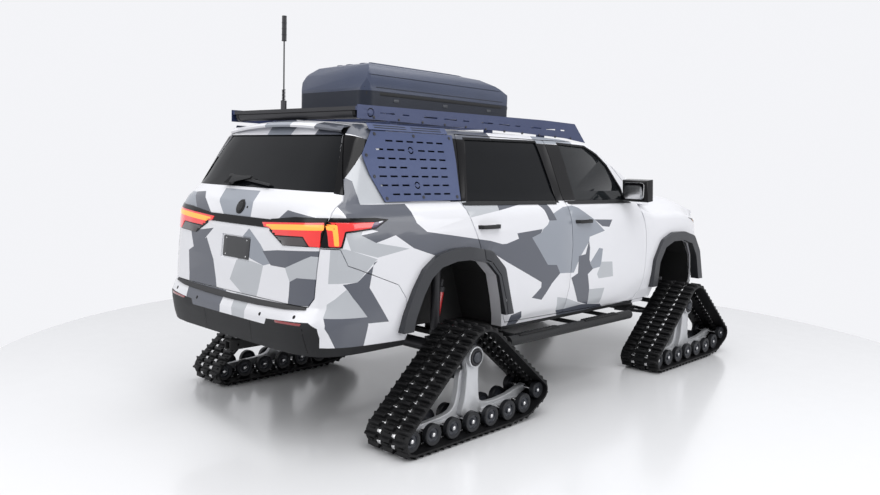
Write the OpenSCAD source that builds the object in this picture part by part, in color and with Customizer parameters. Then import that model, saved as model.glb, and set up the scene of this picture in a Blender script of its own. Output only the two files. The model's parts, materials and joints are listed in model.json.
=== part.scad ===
// Full-size four-door SUV on four triangular rubber track units.
// +X is forward, +Y is left, +Z is up; z = 0 is the floor under the track lugs.

/* [Chassis] */
// Distance between the front and the rear hubs
wheelbase = 3099; // [3000:1:3200]
// Forward shift of the hubs' midpoint from the body's middle
hub_shift = 107; // [80:1:130]
// Height of the hubs above the floor
hub_z = 525; // [505:1:545]
// Distance of the frame rails' middle planes from the centre plane
rail_y = 455; // [430:1:470]
// Height of a frame rail's section
rail_h = 130; // [100:1:150]
// Width of a frame rail's section
rail_w = 80; // [60:1:90]
// Inside width of the square hitch receiver
receiver_in = 51; // [45:1:60]
// Radius of the hitch pin's hole
pin_hole_r = 8; // [6:0.5:9]

/* [Body] */
// Overall length over the bumpers
body_l = 5286; // [5240:1:5330]
// Width of the body sides
body_w = 1980; // [1940:1:2020]
// Height of the body side's lower edge
sill_z = 605; // [590:1:615]
// Height of the belt line below the side windows
belt_z = 1530; // [1500:1:1560]
// Height of the roof's edge
roof_z = 2045; // [2015:1:2075]
// Rise of the roof from its edge to its middle
roof_crown = 42; // [30:1:55]
// Thickness of doors and side walls below the belt line
wall_t = 95; // [80:1:110]
// Thickness of pillars and window frames above the belt line
frame_t = 45; // [35:1:55]
// Thickness of single panels such as hood and fenders
panel_t = 14; // [10:1:20]
// Thickness of window glass
glass_t = 5; // [4:0.5:8]
// Shut gap between neighbouring panels
shut_gap = 6; // [5:0.5:9]
// Forward edge of the rear doors
pillar_x = -111; // [-140:1:-80]

/* [Track units] */
// Distance between the middle planes of left and right track units
track_gauge = 2120; // [2100:1:2150]
// Width of a rubber track
track_w = 380; // [340:1:400]
// Thickness of the rubber carcass between lugs
track_t = 12; // [10:1:16]
// Height of the lugs
lug_h = 24; // [15:1:28]
// Length of a lug along the track
lug_l = 22; // [16:1:28]
// Number of lugs around a track
lug_n = 54; // [48:2:60]
// Radius of the road rollers
roller_r = 72; // [64:1:74]
// Spacing of the road rollers
roller_pitch = 189.7; // [180:0.1:192]
// Distance of the rearmost roller behind the hub
roller_back = 645; // [620:1:660]
// Radius of the drive sprocket inside the track
sprocket_r = 190; // [170:1:200]
// Radius of the hub shaft
hub_r = 32; // [26:1:38]

/* [Roof load] */
// Length of the roof rack
rack_l = 2560; // [2400:1:2620]
// Distance of a rack side plate from the centre plane
rack_y = 715; // [690:1:730]
// Thickness of the rack's sheet metal
rack_t = 5; // [4:0.5:8]
// Radius of the long tube across the rack's rear end
tube_r = 37; // [30:1:42]
// Length of the roof box
box_l = 1585; // [1480:1:1680]
// Width of the roof box
box_w = 760; // [700:1:820]
// Height of the roof box above the rack
box_h = 320; // [290:1:350]
// Wall thickness of the roof box
box_t = 4; // [3:0.5:6]

/* [Hidden] */

// Places of the hubs and of the body's ends
front_x = hub_shift + wheelbase / 2;
rear_x = hub_shift - wheelbase / 2;
nose_x = body_l / 2;
tail_x = -body_l / 2;
half_w = body_w / 2;
// Widths of gate, hood, lamps and floor follow the body's width
width_k = half_w / 990;
unit_y = track_gauge / 2;
seat_gap = 0.3;

// Side-view outlines are drawn with hubs, door edge and ends at these places, and each moves with its own
drawn_front = 1656;
drawn_rear = 1442;
drawn_door = 111;
drawn_end = 2643;
function front_at(x) = front_x - drawn_front + x;
function rear_at(x) = rear_x + drawn_rear + x;
function b_at(x) = pillar_x + drawn_door + x;

// Heights of the stock side profile, as distances above the sill and above the belt
lower_span = 925;
upper_span = 515;
function lo(h) = sill_z + h * (belt_z - sill_z) / lower_span;
function hi(h) = belt_z + h * (roof_z - belt_z) / upper_span;

// Value of a table of [position, value] rows, in straight steps
function table(rows, v, i = 0) =
    v <= rows[0][0] ? rows[0][1] :
    i >= len(rows) - 1 ? rows[len(rows) - 1][1] :
    v <= rows[i + 1][0] ?
        rows[i][1] + (rows[i + 1][1] - rows[i][1]) * (v - rows[i][0]) / (rows[i + 1][0] - rows[i][0]) :
    table(rows, v, i + 1);

// Inset of the side surface from the body's widest plane, from sill to roof edge
side_inset = [[lo(-60), 72], [lo(35), 40], [lo(115), 18], [lo(245), 4], [lo(395), 0], [lo(595), 0],
    [lo(745), 6], [lo(845), 18], [lo(895), 32], [lo(925), 54], [hi(30), 76], [hi(90), 94],
    [hi(220), 132], [hi(350), 170], [hi(430), 197], [hi(480), 222], [hi(515), 262]];

// Middle line of the tail in side view: distance forward of the bumper's rear face
tail_rake = [[lo(-60), 70], [lo(40), 20], [lo(150), 0], [lo(235), 0], [lo(330), 48], [lo(545), 62],
    [lo(835), 92], [lo(925), 128], [hi(90), 215], [hi(445), 418], [hi(515), 478]];

// Middle line of the nose in side view: distance behind the bumper's front face
nose_rake = [[lo(-60), 90], [lo(60), 15], [lo(150), 0], [lo(300), 0], [lo(420), 25], [lo(600), 50],
    [lo(700), 72], [lo(790), 110]];

// Plan curve: straight sides, then squarish rounded ends
rear_start = -1900;
front_start = 1500;
rear_power = 6;
front_power = 3.2;
side_bow = 9;
function side_y(x, z) = half_w - table(side_inset, z) - side_bow * pow(x / 1500, 2);
function tail_at(z) = tail_x + table(tail_rake, z);
function nose_at(z) = nose_x - table(nose_rake, z);

// Points of the skin, moved inward by d: on the side, round the rear, round the front
function tail_curve(y, z) = rear_start - (rear_start - tail_at(z))
    * pow(1 - pow(abs(y) / side_y(rear_start, z), rear_power), 1 / rear_power);
function side_pt(x, z, d) = [x, side_y(x, z) - d, z];
function rear_pt(t, z, d) = [
    rear_start - (rear_start - tail_at(z) - d) * pow(sin(t), 2 / rear_power),
    (side_y(rear_start, z) - d) * pow(cos(t), 2 / rear_power), z];
function front_pt(t, z, d) = [
    front_start + (nose_at(z) - d - front_start) * pow(sin(t), 2 / front_power),
    (side_y(front_start, z) - d) * pow(cos(t), 2 / front_power), z];
function fender_y(x, z) = x < front_start ? side_y(x, z) :
    side_y(front_start, z) *
    pow(1 - pow((x - front_start) / (nose_at(z) - front_start), front_power), 1 / front_power);

function wall_at(z) = z > belt_z ? frame_t : wall_t;

// Closed slab between an outer grid of points and the inner grid behind it
module slab(outer, inner) {
    nu = len(outer);
    nv = len(outer[0]);
    n = nu * nv;
    points = [for (row = outer) each row, for (row = inner) each row];
    outside = [for (i = [0 : nu - 2], j = [0 : nv - 2])
        each [[i * nv + j, i * nv + j + 1, (i + 1) * nv + j + 1],
            [i * nv + j, (i + 1) * nv + j + 1, (i + 1) * nv + j]]];
    inside = [for (f = outside) [f[0] + n, f[2] + n, f[1] + n]];
    edge = [for (i = [0 : nu - 1]) i * nv,
        for (j = [1 : nv - 1]) (nu - 1) * nv + j,
        for (i = [nu - 2 : -1 : 0]) i * nv + nv - 1,
        for (j = [nv - 2 : -1 : 1]) j];
    rim = [for (k = [0 : len(edge) - 1])
        let (a = edge[k], b = edge[(k + 1) % len(edge)])
        each [[a, b, b + n], [a, b + n, a + n]]];
    polyhedron(points, concat(outside, inside, rim));
}

// Left side slab over the given stations and heights
module side_slab(xs, zs, d0, d1) {
    slab([for (x = xs) [for (z = zs) side_pt(x, z, d0)]],
        [for (x = xs) [for (z = zs) side_pt(x, z, d1 ? d1 : wall_at(z))]]);
}

// Prism through the body along Y from an outline given in x and z
module across(y0, y1) {
    translate([0, y1, 0])
        rotate([90, 0, 0])
            linear_extrude(y1 - y0)
                children();
}

module both_sides() {
    children();
    mirror([0, 1, 0])
        children();
}

function steps(a, b, n) = [for (i = [0 : n]) a + (b - a) * i / n];

// ---- Outlines in side view ----
function front_edge(x, h) = [front_at(x), h];
function b_edge(x, h) = [b_at(x), h];
function rear_edge(x, h) = [rear_at(x), h];
function nose_edge(x, h) = [nose_x - drawn_end + x, h];
function tail_edge(x, h) = [tail_x + drawn_end + x, h];

b_line = [b_edge(-167, lo(45)), b_edge(-127, lo(268)), b_edge(-111, lo(590)), b_edge(-126, lo(775)),
    b_edge(-160, lo(900)), b_edge(-172, hi(25)), b_edge(-270, hi(488))];

front_door_line = concat(
    [for (p = b_line) p],
    [front_edge(60, hi(492)), front_edge(310, hi(484)), front_edge(480, hi(422)), front_edge(640, hi(315)),
        front_edge(850, hi(130)), front_edge(925, hi(50)), front_edge(934, lo(891)),
        front_edge(990, lo(825)), front_edge(1041, lo(736)), front_edge(1070, lo(640)),
        front_edge(1083, lo(524)), front_edge(1083, lo(350)), front_edge(1065, lo(204)),
        front_edge(1020, lo(110)), front_edge(940, lo(45)), front_edge(860, lo(30))]);

// Rear arch: a rounded opening about the rear hub
function arch_line(cx, w0, w1, top) = [
    [cx - w0 - 75, lo(-120)], [cx - w0, lo(216)], [cx - w0 + 68, lo(359)], [cx - w0 + 137, lo(464)],
    [cx - w0 + 230, lo(top - 30)], [cx - w0 + 375, lo(top)], [cx + w1 - 480, lo(top)],
    [cx + w1 - 300, lo(top - 32)], [cx + w1 - 180, lo(top - 134)], [cx + w1 - 120, lo(top - 322)],
    [cx + w1 - 75, lo(top - 457)], [cx + w1 + 10, lo(-120)]];
rear_arch = arch_line(rear_x, 440, 560, 558);
front_arch = [
    [front_x - 440, lo(-120)], [front_x - 380, lo(139)], [front_x - 349, lo(353)],
    [front_x - 250, lo(488)], [front_x - 97, lo(537)], [front_x + 107, lo(537)],
    [front_x + 282, lo(497)], [front_x + 386, lo(371)], [front_x + 467, lo(112)],
    [front_x + 520, lo(-120)]];

rear_door_line = concat(
    [for (i = [len(b_line) - 1 : -1 : 0]) b_line[i]],
    [rear_edge(-900, lo(58)), rear_edge(-935, lo(101)), rear_edge(-966, lo(236)), rear_edge(-1034, lo(425)),
        rear_edge(-1140, lo(526)), rear_edge(-1212, lo(550)),
        rear_edge(-1240, lo(652)), rear_edge(-1310, lo(794)), rear_edge(-1372, lo(915)),
        rear_edge(-1372, hi(30)), rear_edge(-1300, hi(488))]);

front_glass_line = [b_edge(0, hi(15)), front_edge(757, hi(15)), front_edge(735, hi(105)),
    front_edge(578, hi(300)), front_edge(450, hi(390)), front_edge(299, hi(452)), b_edge(-80, hi(463))];
rear_glass_line = [rear_edge(-1310, hi(28)), b_edge(-265, hi(18)), b_edge(-385, hi(466)),
    rear_edge(-1215, hi(455))];
quarter_line = [tail_edge(-2020, hi(40)), rear_edge(-1440, hi(32)), rear_edge(-1375, hi(448)),
    tail_edge(-1990, hi(430)), tail_edge(-2090, hi(300)), tail_edge(-2080, hi(160))];

// The side panels end at the windshield's edge
shield_foot_x = 1085;
shield_top_x = 330;
shield_line = [[front_at(shield_foot_x + 60), lo(860)], [front_at(shield_foot_x + 60), hi(45)],
    [front_at(shield_top_x), hi(478)], [front_at(shield_top_x - 330), hi(505)],
    [front_at(shield_top_x - 680), hi(516)], [front_at(shield_top_x - 680), hi(700)],
    [front_at(2000), hi(700)], [front_at(2000), lo(860)]];

// Gate outline seen from behind, left half widths over heights
gate_line = [[775, lo(330)], [812, lo(385)], [822, lo(680)], [852, lo(862)], [846, hi(40)],
    [650, hi(445)], [636, hi(620)]];
// Outline made of a left half over heights and its mirror image
module mirrored(line) {
    polygon([for (p = line) [p[0] * width_k, p[1]],
        for (i = [len(line) - 1 : -1 : 0]) [-line[i][0] * width_k, line[i][1]]]);
}
module gate_shape(grow) {
    offset(delta = grow)
        mirrored(gate_line);
}
// Prism along X from an outline given in y and z
module along(x0, x1) {
    translate([x0, 0, 0])
        rotate([90, 0, 90])
            linear_extrude(x1 - x0)
                children();
}

side_heights = [lo(0), lo(45), lo(115), lo(245), lo(395), lo(595), lo(745), lo(845), lo(895), lo(925),
    hi(30), hi(90), hi(220), hi(350), hi(430), hi(480), hi(515)];
rear_turn = [2, 8, 18, 28, 36, 42, 47, 52];

// The bumper cover's share of the side: behind the rear arch and below the lamps
bumper_line = [rear_edge(-1900, lo(-150)), rear_edge(-1940, lo(350)), tail_edge(-2010, lo(440)),
    tail_edge(-2400, lo(585)), tail_edge(-2440, lo(684)), tail_edge(-2800, lo(684)),
    tail_edge(-2800, lo(-150))];
lamp_line = [tail_edge(-2093, lo(856)), tail_edge(-2200, lo(868)), tail_edge(-2800, lo(868)),
    tail_edge(-2800, lo(691)), tail_edge(-2430, lo(691)), tail_edge(-2405, lo(780)),
    tail_edge(-2200, lo(800))];
// The front fender's share of the side
fender_front = nose_edge(2300, 0)[0];
fender_low_front = nose_edge(2150, 0)[0];
fender_line = [front_edge(900, lo(30)), nose_edge(2150, lo(30)), nose_edge(2150, lo(585)),
    nose_edge(2290, lo(620)), nose_edge(2290, lo(1050)), front_edge(1010, lo(1050)), front_edge(925, lo(900)),
    front_edge(960, lo(500))];

// ---- Body sides: rockers, pillars, roof sides and rear quarters ----
module side_frame() {
    xs = concat(steps(front_at(1140), pillar_x, 5), steps(pillar_x - 400, rear_start, 5));
    outer = concat([for (x = xs) [for (z = side_heights) side_pt(x, z, 0)]],
        [for (t = rear_turn) [for (z = side_heights) rear_pt(t, z, 0)]]);
    inner = concat([for (x = xs) [for (z = side_heights) side_pt(x, z, wall_at(z))]],
        [for (t = rear_turn) [for (z = side_heights) rear_pt(t, z, wall_at(z))]]);
    difference() {
        slab(outer, inner);
        across(0, 2 * half_w)
            offset(delta = shut_gap / 2)
                polygon(front_door_line);
        across(0, 2 * half_w)
            offset(delta = shut_gap / 2)
                polygon(rear_door_line);
        across(0, 2 * half_w)
            polygon(quarter_line);
        across(0, 2 * half_w)
            polygon(rear_arch);
        across(0, 2 * half_w)
            polygon(shield_line);
        along(tail_x - 100, tail_x + 700)
            gate_shape(shut_gap / 2);
        across(0, 2 * half_w)
            offset(delta = shut_gap / 2)
                polygon(bumper_line);
        across(0, 2 * half_w)
            offset(delta = seat_gap)
                polygon(lamp_line);
        roof_slab(-60, roof_t + 0.3, 0.3);
        intersection() {
            fender_shell(-60, panel_t + 3);
            across(0, 2 * half_w)
                offset(delta = shut_gap / 2)
                    fender_shape();
        }
    }
}

// Middle pillar: inboard of the doors, standing on the rocker
pillar_play = 5;
pillar_t = 55;
pillar_top_z = roof_z - 37;
function pillar_depth(z) = z < lo(45) ? wall_t / 2 : wall_at(z) + pillar_play;
module middle_pillar() {
    rows = concat([lo(34), lo(38)], [for (z = side_heights) if (z >= lo(45) && z < hi(480)) z], [hi(479)]);
    xs = steps(pillar_x + 60, pillar_x - 280, 4);
    intersection() {
        slab([for (x = xs) [for (z = rows) side_pt(x, z, pillar_depth(z))]],
            [for (x = xs) [for (z = rows) side_pt(x, z, wall_at(z) + pillar_play + pillar_t)]]);
        across(0, 2 * half_w)
            polygon([b_edge(-150, lo(0)), b_edge(-80, lo(0)), b_edge(-70, lo(590)), b_edge(-110, hi(30)),
                b_edge(-190, pillar_top_z), b_edge(-310, pillar_top_z), b_edge(-230, hi(30)),
                b_edge(-190, lo(590)), b_edge(-240, lo(0))]);
    }
    // Hinge pads that carry the rear door
    intersection() {
        side_slab(steps(pillar_x + 20, rear_x - 20, 6), side_heights, wall_t + seat_gap,
            wall_t + pillar_play + 20);
        across(0, 2 * half_w)
            for (h = [lo(170), lo(620)])
                translate([pillar_x - 95, h])
                    square([50, 60]);
    }
}
module body_sides() {
    color("white")
        both_sides() {
            side_frame();
            middle_pillar();
        }
}

// ---- Doors ----
door_skin_t = 18;
door_step = 20;
module door_panel(line, glass_line, x0, x1, nx) {
    difference() {
        intersection() {
            side_slab(steps(x0, x1, nx), side_heights, 0, 0);
            across(0, 2 * half_w)
                offset(delta = -shut_gap / 2)
                    polygon(line);
        }
        across(0, 2 * half_w)
            polygon(glass_line);
        difference() {
            side_slab(steps(x0, x1, nx), side_heights, door_skin_t, 2 * wall_t);
            across(0, 2 * half_w)
                offset(delta = -door_step)
                    polygon(line);
        }
    }
}

// Pull handle: a bar bent towards the skin at both ends
handle_l = 230;
handle_z = lo(762);
handle_out = 40;
module handle(x) {
    end = handle_l / 2;
    translate([x, side_y(x, handle_z) - 4, handle_z])
        linear_extrude(27)
            difference() {
                polygon([[-end, 0], [22 - end, handle_out - 6], [45 - end, handle_out],
                    [end - 45, handle_out], [end - 22, handle_out - 6], [end, 0]]);
                polygon([[34 - end, -1], [44 - end, handle_out - 18], [end - 44, handle_out - 18],
                    [end - 34, -1]]);
            }
}

module front_door() {
    door_panel(front_door_line, front_glass_line, front_at(1110), pillar_x - 190, 6);
    handle(b_at(40));
}

module rear_door() {
    difference() {
        union() {
            door_panel(rear_door_line, rear_glass_line, pillar_x + 20, rear_x - 20, 6);
            // The door's share of the arch flare
            intersection() {
                flare_band(rear_arch, rear_flare_w);
                across(0, 2 * half_w)
                    offset(delta = -shut_gap / 2)
                        polygon(rear_door_line);
            }
        }
        across(0, 2 * half_w)
            polygon(rear_arch);
    }
    handle(rear_at(-1145));
}

// Pane that fills a window outline, set in from the outer skin
pane_rows = [belt_z + 5, hi(90), hi(220), hi(350), hi(430), hi(475)];
module pane(line, x0, x1, nx) {
    intersection() {
        side_slab(steps(x0, x1, nx), pane_rows, 12, 12 + glass_t);
        across(0, 2 * half_w)
            offset(delta = -0.3)
                polygon(line);
    }
}

module front_pane() {
    pane(front_glass_line, front_at(800), pillar_x - 60, 3);
}

module rear_pane() {
    pane(rear_glass_line, pillar_x - 100, rear_x + 50, 3);
}

glass_turn = concat([0], rear_turn);
glass_rows = [belt_z + 5, hi(90), hi(220), hi(350), hi(475)];
module quarter_glass() {
    color("dimgray")
        both_sides()
            intersection() {
                union() {
                    side_slab(steps(rear_x + 80, rear_start, 2), pane_rows, 12, 12 + glass_t);
                    slab([for (t = glass_turn) [for (z = glass_rows) rear_pt(t, z, 12)]],
                        [for (t = glass_turn) [for (z = glass_rows) rear_pt(t, z, 12 + glass_t)]]);
                }
                across(0, 2 * half_w)
                    offset(delta = -0.3)
                        polygon(quarter_line);
            }
}

module door_front_left() { color("white") front_door(); }
module door_rear_left() { color("white") rear_door(); }
module door_front_right() { color("white") mirror([0, 1, 0]) front_door(); }
module door_rear_right() { color("white") mirror([0, 1, 0]) rear_door(); }
module glass_front_left() { color("dimgray") front_pane(); }
module glass_rear_left() { color("dimgray") rear_pane(); }
module glass_front_right() { color("dimgray") mirror([0, 1, 0]) front_pane(); }
module glass_rear_right() { color("dimgray") mirror([0, 1, 0]) rear_pane(); }

// ---- Roof ----
roof_front_x = front_at(shield_top_x);
function roof_drop(x) = x > roof_front_x - 680 ? -37 * pow((x - roof_front_x + 680) / 680, 2) :
    x < rear_start + 300 ? -12 * pow((x - rear_start - 300) / 550, 2) : 0;
function roof_y(x) = side_y(x, roof_z) - frame_t - 0.3;
function roof_pt(x, q, d) =
    [x, q * (roof_y(x) - (x < rear_start ? (rear_start - x) * 0.06 : 0)),
        roof_z + roof_drop(x) + roof_crown * (1 - q * q) - d];
roof_t = 32;
gate_top_z = hi(500);
gate_wall_t = 62;
gate_frame_t = 40;
gate_skin_t = 20;
gate_step = 28;
hinge_gap = 14;
function bowed(x, q, reach) = x + reach * (1 - q * q);
roof_front_bow = 105;

roof_half = roof_y(rear_start);
function roof_rear(q) = tail_curve(q * roof_half * 0.97, gate_top_z) + gate_frame_t + 8;
function roof_row(s, q, d) =
    roof_pt(roof_rear(q) + s * (bowed(roof_front_x - 8, q, roof_front_bow) - roof_rear(q)), q, d);
module roof_slab(d0, d1, spread) {
    qs = steps(-1, 1, 12);
    rows = steps(0, 1, 12);
    slab([for (s = rows) [for (q = qs) roof_row(s, q, d0) + [0, q * spread, 0]]],
        [for (s = rows) [for (q = qs) roof_row(s, q, d1) + [0, q * spread, 0]]]);
}
// Share of the roof's half width at which the stop pads sit
pad_q = 0.66;
module roof() {
    color("white") {
        roof_slab(0, roof_t, 0);
        // Stop pads under the rear edge, where the liftgate's hinges bear
        difference() {
            both_sides()
                translate([roof_rear(pad_q), pad_q * roof_half - 45, gate_top_z - 25]) {
                    translate([-40, 0, 0])
                        cube([80, 90, 20]);
                    translate([12, 0, 0])
                        cube([28, 90, roof_row(0, pad_q, roof_t)[2] + 8 - gate_top_z + 25]);
                }
            tail_slab(gate_rows, -200, gate_wall_t, gate_frame_t + seat_gap);
        }
    }
}

// ---- Windshield ----
shield_rows = [hi(62), hi(160), hi(260), hi(360), hi(452)];
shield_slope = (shield_foot_x + 60 - shield_top_x) / (hi(478) - hi(45));
function shield_x(z) = front_at(shield_top_x) + (hi(478) - z) * shield_slope;
function shield_pt(z, q, d) =
    let (x = shield_x(z), k = (z - belt_z) / (roof_z - belt_z))
    [x - 30 - d + (190 - 85 * k) * (1 - q * q), q * (side_y(x, z) - frame_t - 0.6),
        z + roof_crown * k * (1 - q * q)];
module windshield() {
    qs = steps(-1, 1, 10);
    color("dimgray")
        slab([for (q = qs) [for (z = shield_rows) shield_pt(z, q, 0)]],
            [for (q = qs) [for (z = shield_rows) shield_pt(z, q, glass_t + 3)]]);
}

// ---- Hood and front fenders ----
hood_foot_x = front_at(1330);
hood_half = 795 * width_k;
hood_rise = [[front_x - 556, lo(978)], [front_x - 169, lo(962)], [front_x + 72, lo(930)],
    [front_x + 327, lo(878)], [front_x + 551, lo(822)], [front_x + 687, lo(790)], [front_x + 794, lo(752)],
    [front_x + 900, lo(716)]];
hood_bulge = 26;
hood_lip_z = lo(716);
function hood_front(y) = front_start + (nose_at(hood_lip_z) - 12 - front_start)
    * pow(1 - pow(abs(y) / side_y(front_start, hood_lip_z), front_power), 1 / front_power);
function hood_pt(s, q, d) =
    let (y = q * (hood_half - 14 * s),
        x0 = hood_foot_x - 120 * q * q,
        x = x0 + s * (hood_front(y) - x0))
    [x, y, table(hood_rise, x) + hood_bulge * (1 - q * q) - d];
module hood_slab(d0, d1) {
    qs = steps(-1, 1, 12);
    rows = [0, 0.12, 0.25, 0.38, 0.5, 0.62, 0.74, 0.84, 0.92, 1];
    slab([for (s = rows) [for (q = qs) hood_pt(s, q, d0)]],
        [for (s = rows) [for (q = qs) hood_pt(s, q, d1)]]);
}
module hood() {
    color("white")
        hood_slab(0, panel_t);
}

crest = [[front_x - 573, lo(862)], [front_x - 470, lo(800)], [front_x - 150, lo(806)],
    [front_x + 150, lo(800)], [front_x + 370, lo(765)], [front_x + 694, lo(705)]];
fender_rows = [lo(25), lo(115), lo(245), lo(300), lo(395), lo(595), lo(640)];
function fender_section(x, d) =
    let (c = table(crest, x), y = fender_y(x, min(c, lo(640))), k = min(1, (y - hood_half - shut_gap) / 100))
    concat([for (z = fender_rows) [x, fender_y(x, z) - d, z]],
        [[x, y - 6 * k - d, c - 55 - d * 0.4], [x, y - 18 * k - d, c - 22 - d * 0.7],
            [x, y - 42 * k - d * 0.6, c - d], [x, y - 80 * k, c + 16 * k - d],
            [x, hood_half + shut_gap, table(hood_rise, x) - d]]);
fender_xs = concat(steps(fender_front, front_start + 260, 6),
    steps(front_start, front_at(905), 5));
module fender_shell(d0, d1) {
    slab([for (x = fender_xs) fender_section(x, d0)], [for (x = fender_xs) fender_section(x, d1)]);
}
// The fender's outline in side view, without the foot of the windshield pillar
module fender_shape() {
    difference() {
        polygon(fender_line);
        polygon([front_edge(600, hi(200)), front_edge(1225, hi(200)), front_edge(1205, lo(900)),
            front_edge(1092, lo(880)), front_edge(900, lo(905))]);
    }
}
module fender() {
    difference() {
        intersection() {
            fender_shell(0, panel_t);
            across(0, 2 * half_w)
                offset(delta = -shut_gap / 4)
                    fender_shape();
        }
        across(0, 2 * half_w)
            offset(delta = shut_gap / 2)
                polygon(front_door_line);
        across(0, 2 * half_w)
            polygon(front_arch);
        across(0, 2 * half_w)
            offset(delta = seat_gap)
                polygon(head_line);
    }
}
module front_fenders() {
    color("white")
        both_sides()
            fender();
}

// ---- Front bumper, grille and headlamps ----
head_line = [nose_edge(1962, lo(748)), nose_edge(2087, lo(733)), nose_edge(2300, lo(690)),
    nose_edge(2700, lo(668)), nose_edge(2700, lo(560)), nose_edge(2400, lo(560)), nose_edge(2291, lo(584)),
    nose_edge(2250, lo(650)), nose_edge(2100, lo(712))];
head_inner_y = 580 * width_k;
grille_line = [[500, lo(250)], [570, lo(420)], [510, lo(655)]];
intake_line = [[470, lo(20)], [520, lo(150)]];
front_turn = [16, 24, 32, 40, 48, 56, 64, 72, 80, 90];
function half_turn(ts) = concat([for (t = ts) [t, -1]], [for (i = [len(ts) - 2 : -1 : 0]) [ts[i], 1]]);
function flip(p, side) = [p[0], p[1] * side, p[2]];
module nose_slab(zs, d0, d1) {
    stations = half_turn(front_turn);
    slab([for (k = stations) [for (z = zs) flip(front_pt(k[0], z, d0), k[1])]],
        [for (k = stations) [for (z = zs) flip(front_pt(k[0], z, d1), k[1])]]);
}
module front_bumper() {
    color("white")
        difference() {
            nose_slab([lo(-60), lo(0), lo(60), lo(180), lo(300), lo(420), lo(520), lo(600), lo(712)], 0, 24);
            across(-2 * half_w, 2 * half_w)
                polygon([front_edge(1000, lo(-200)), nose_edge(2156, lo(-200)), nose_edge(2156, lo(570)),
                    nose_edge(2296, lo(616)), nose_edge(2296, lo(1050)), front_edge(1000, lo(1050))]);
            along(front_start, nose_x + 100)
                offset(delta = seat_gap)
                    mirrored(grille_line);
            both_sides()
                intersection() {
                    across(head_inner_y, 2 * half_w)
                        offset(delta = seat_gap)
                            polygon(head_line);
                }
            along(front_start, nose_x + 100)
                mirrored(intake_line);
        }
}
grille_bar = 26;
module grille() {
    color("black")
        difference() {
            intersection() {
                nose_slab([lo(230), lo(350), lo(450), lo(550), lo(690)], 10, 40);
                along(front_start, nose_x + 100)
                    mirrored(grille_line);
            }
            for (z = [lo(280) : 2 * grille_bar : lo(620)])
                along(front_start, nose_x + 100)
                    translate([-470 * width_k, z])
                        square([940 * width_k, grille_bar]);
        }
}
module headlamps() {
    color("whitesmoke")
        both_sides()
            intersection() {
                nose_slab([lo(540), lo(620), lo(700), lo(780)], 3, 70);
                across(head_inner_y + seat_gap, 2 * half_w)
                    polygon(head_line);
            }
}

// ---- Rear bumper and tail lamps ----
tail_turn = [6, 14, 24, 34, 42, 49, 57, 66, 78, 90];
// The bumper reaches forward to the rear arch
bumper_turn = concat([0, 0.2, 1.5], tail_turn);
module tail_slab(zs, d0, d1, d2 = 0, turn = tail_turn) {
    stations = half_turn(turn);
    slab([for (k = stations) [for (z = zs) flip(rear_pt(k[0], z, d0), -k[1])]],
        [for (k = stations) [for (z = zs) flip(rear_pt(k[0], z, d2 > 0 && z > belt_z ? d2 : d1), -k[1])]]);
}
module rear_bumper() {
    color("white")
        difference() {
            tail_slab([lo(35), lo(90), lo(180), lo(235), lo(300), lo(330), lo(450), lo(560), lo(681)], 0, 22,
                turn = bumper_turn);
            along(tail_x - 100, rear_start)
                gate_shape(shut_gap / 2);
            difference() {
                translate([tail_x - 100, -2 * half_w, lo(-100)])
                    cube([rear_start - tail_x + 200, 4 * half_w, lo(1200)]);
                across(-3 * half_w, 3 * half_w)
                    offset(delta = -shut_gap / 4)
                        polygon(bumper_line);
            }
            across(-2 * half_w, 2 * half_w)
                polygon(rear_arch);
        }
}
lamp_turn = concat([0], rear_turn, [60]);
lamp_rows = [lo(660), lo(760), lo(850), lo(890)];
module tail_lamps() {
    color("red")
        both_sides()
            difference() {
                intersection() {
                    slab([for (t = lamp_turn) [for (z = lamp_rows) rear_pt(t, z, -4)]],
                        [for (t = lamp_turn) [for (z = lamp_rows) rear_pt(t, z, 40)]]);
                    across(0, 2 * half_w)
                        polygon(lamp_line);
                }
                along(tail_x - 100, rear_start)
                    gate_shape(shut_gap / 2);
            }
}

// ---- Liftgate with its glass and trim ----
gate_rows = [lo(320), lo(385), lo(545), lo(680), lo(835), lo(890), lo(925), hi(30), hi(90), hi(220), hi(350),
    hi(445), gate_top_z];
plate_w = 340;
plate_h = 158;
plate_z = lo(541);
plate_depth = 9;
gate_glass_line = [[776, hi(88)], [640, hi(445)]];
module liftgate() {
    color("white")
        difference() {
            intersection() {
                tail_slab(gate_rows, 0, gate_wall_t, gate_frame_t);
                along(tail_x - 100, rear_start)
                    gate_shape(-shut_gap / 2);
            }
            difference() {
                tail_slab(gate_rows, gate_skin_t, gate_wall_t + 30);
                along(tail_x - 100, rear_start)
                    gate_shape(-gate_step);
            }
            along(tail_x - 100, rear_start + 200)
                mirrored(gate_glass_line);
            intersection() {
                tail_slab(gate_rows, -20, gate_lamp_t);
                along(tail_x - 100, rear_start)
                    offset(delta = 0.3)
                        gate_lamp_shape();
            }
            // Recess for a number plate
            intersection() {
                tail_slab(gate_rows, -20, plate_depth);
                along(tail_x - 100, rear_start)
                    translate([-plate_w / 2, plate_z])
                        square([plate_w, plate_h]);
            }
        }
}
module gate_glass() {
    color("dimgray")
        intersection() {
            tail_slab([hi(60), hi(150), hi(250), hi(350), hi(470)], 6, 6 + glass_t);
            along(tail_x - 100, rear_start + 200)
                offset(delta = -0.3)
                    mirrored(gate_glass_line);
        }
}
gate_lamp_line = [[846, lo(693)], [517, lo(680)], [367, lo(758)], [373, lo(832)], [600, lo(858)],
    [846, lo(866)]];
gate_lamp_t = 30;
module gate_lamp_shape() {
    scale([width_k, 1]) {
        polygon(gate_lamp_line);
        mirror([1, 0])
            polygon(gate_lamp_line);
        translate([-372, lo(775)])
            square([744, lo(828) - lo(775)]);
    }
}
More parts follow.
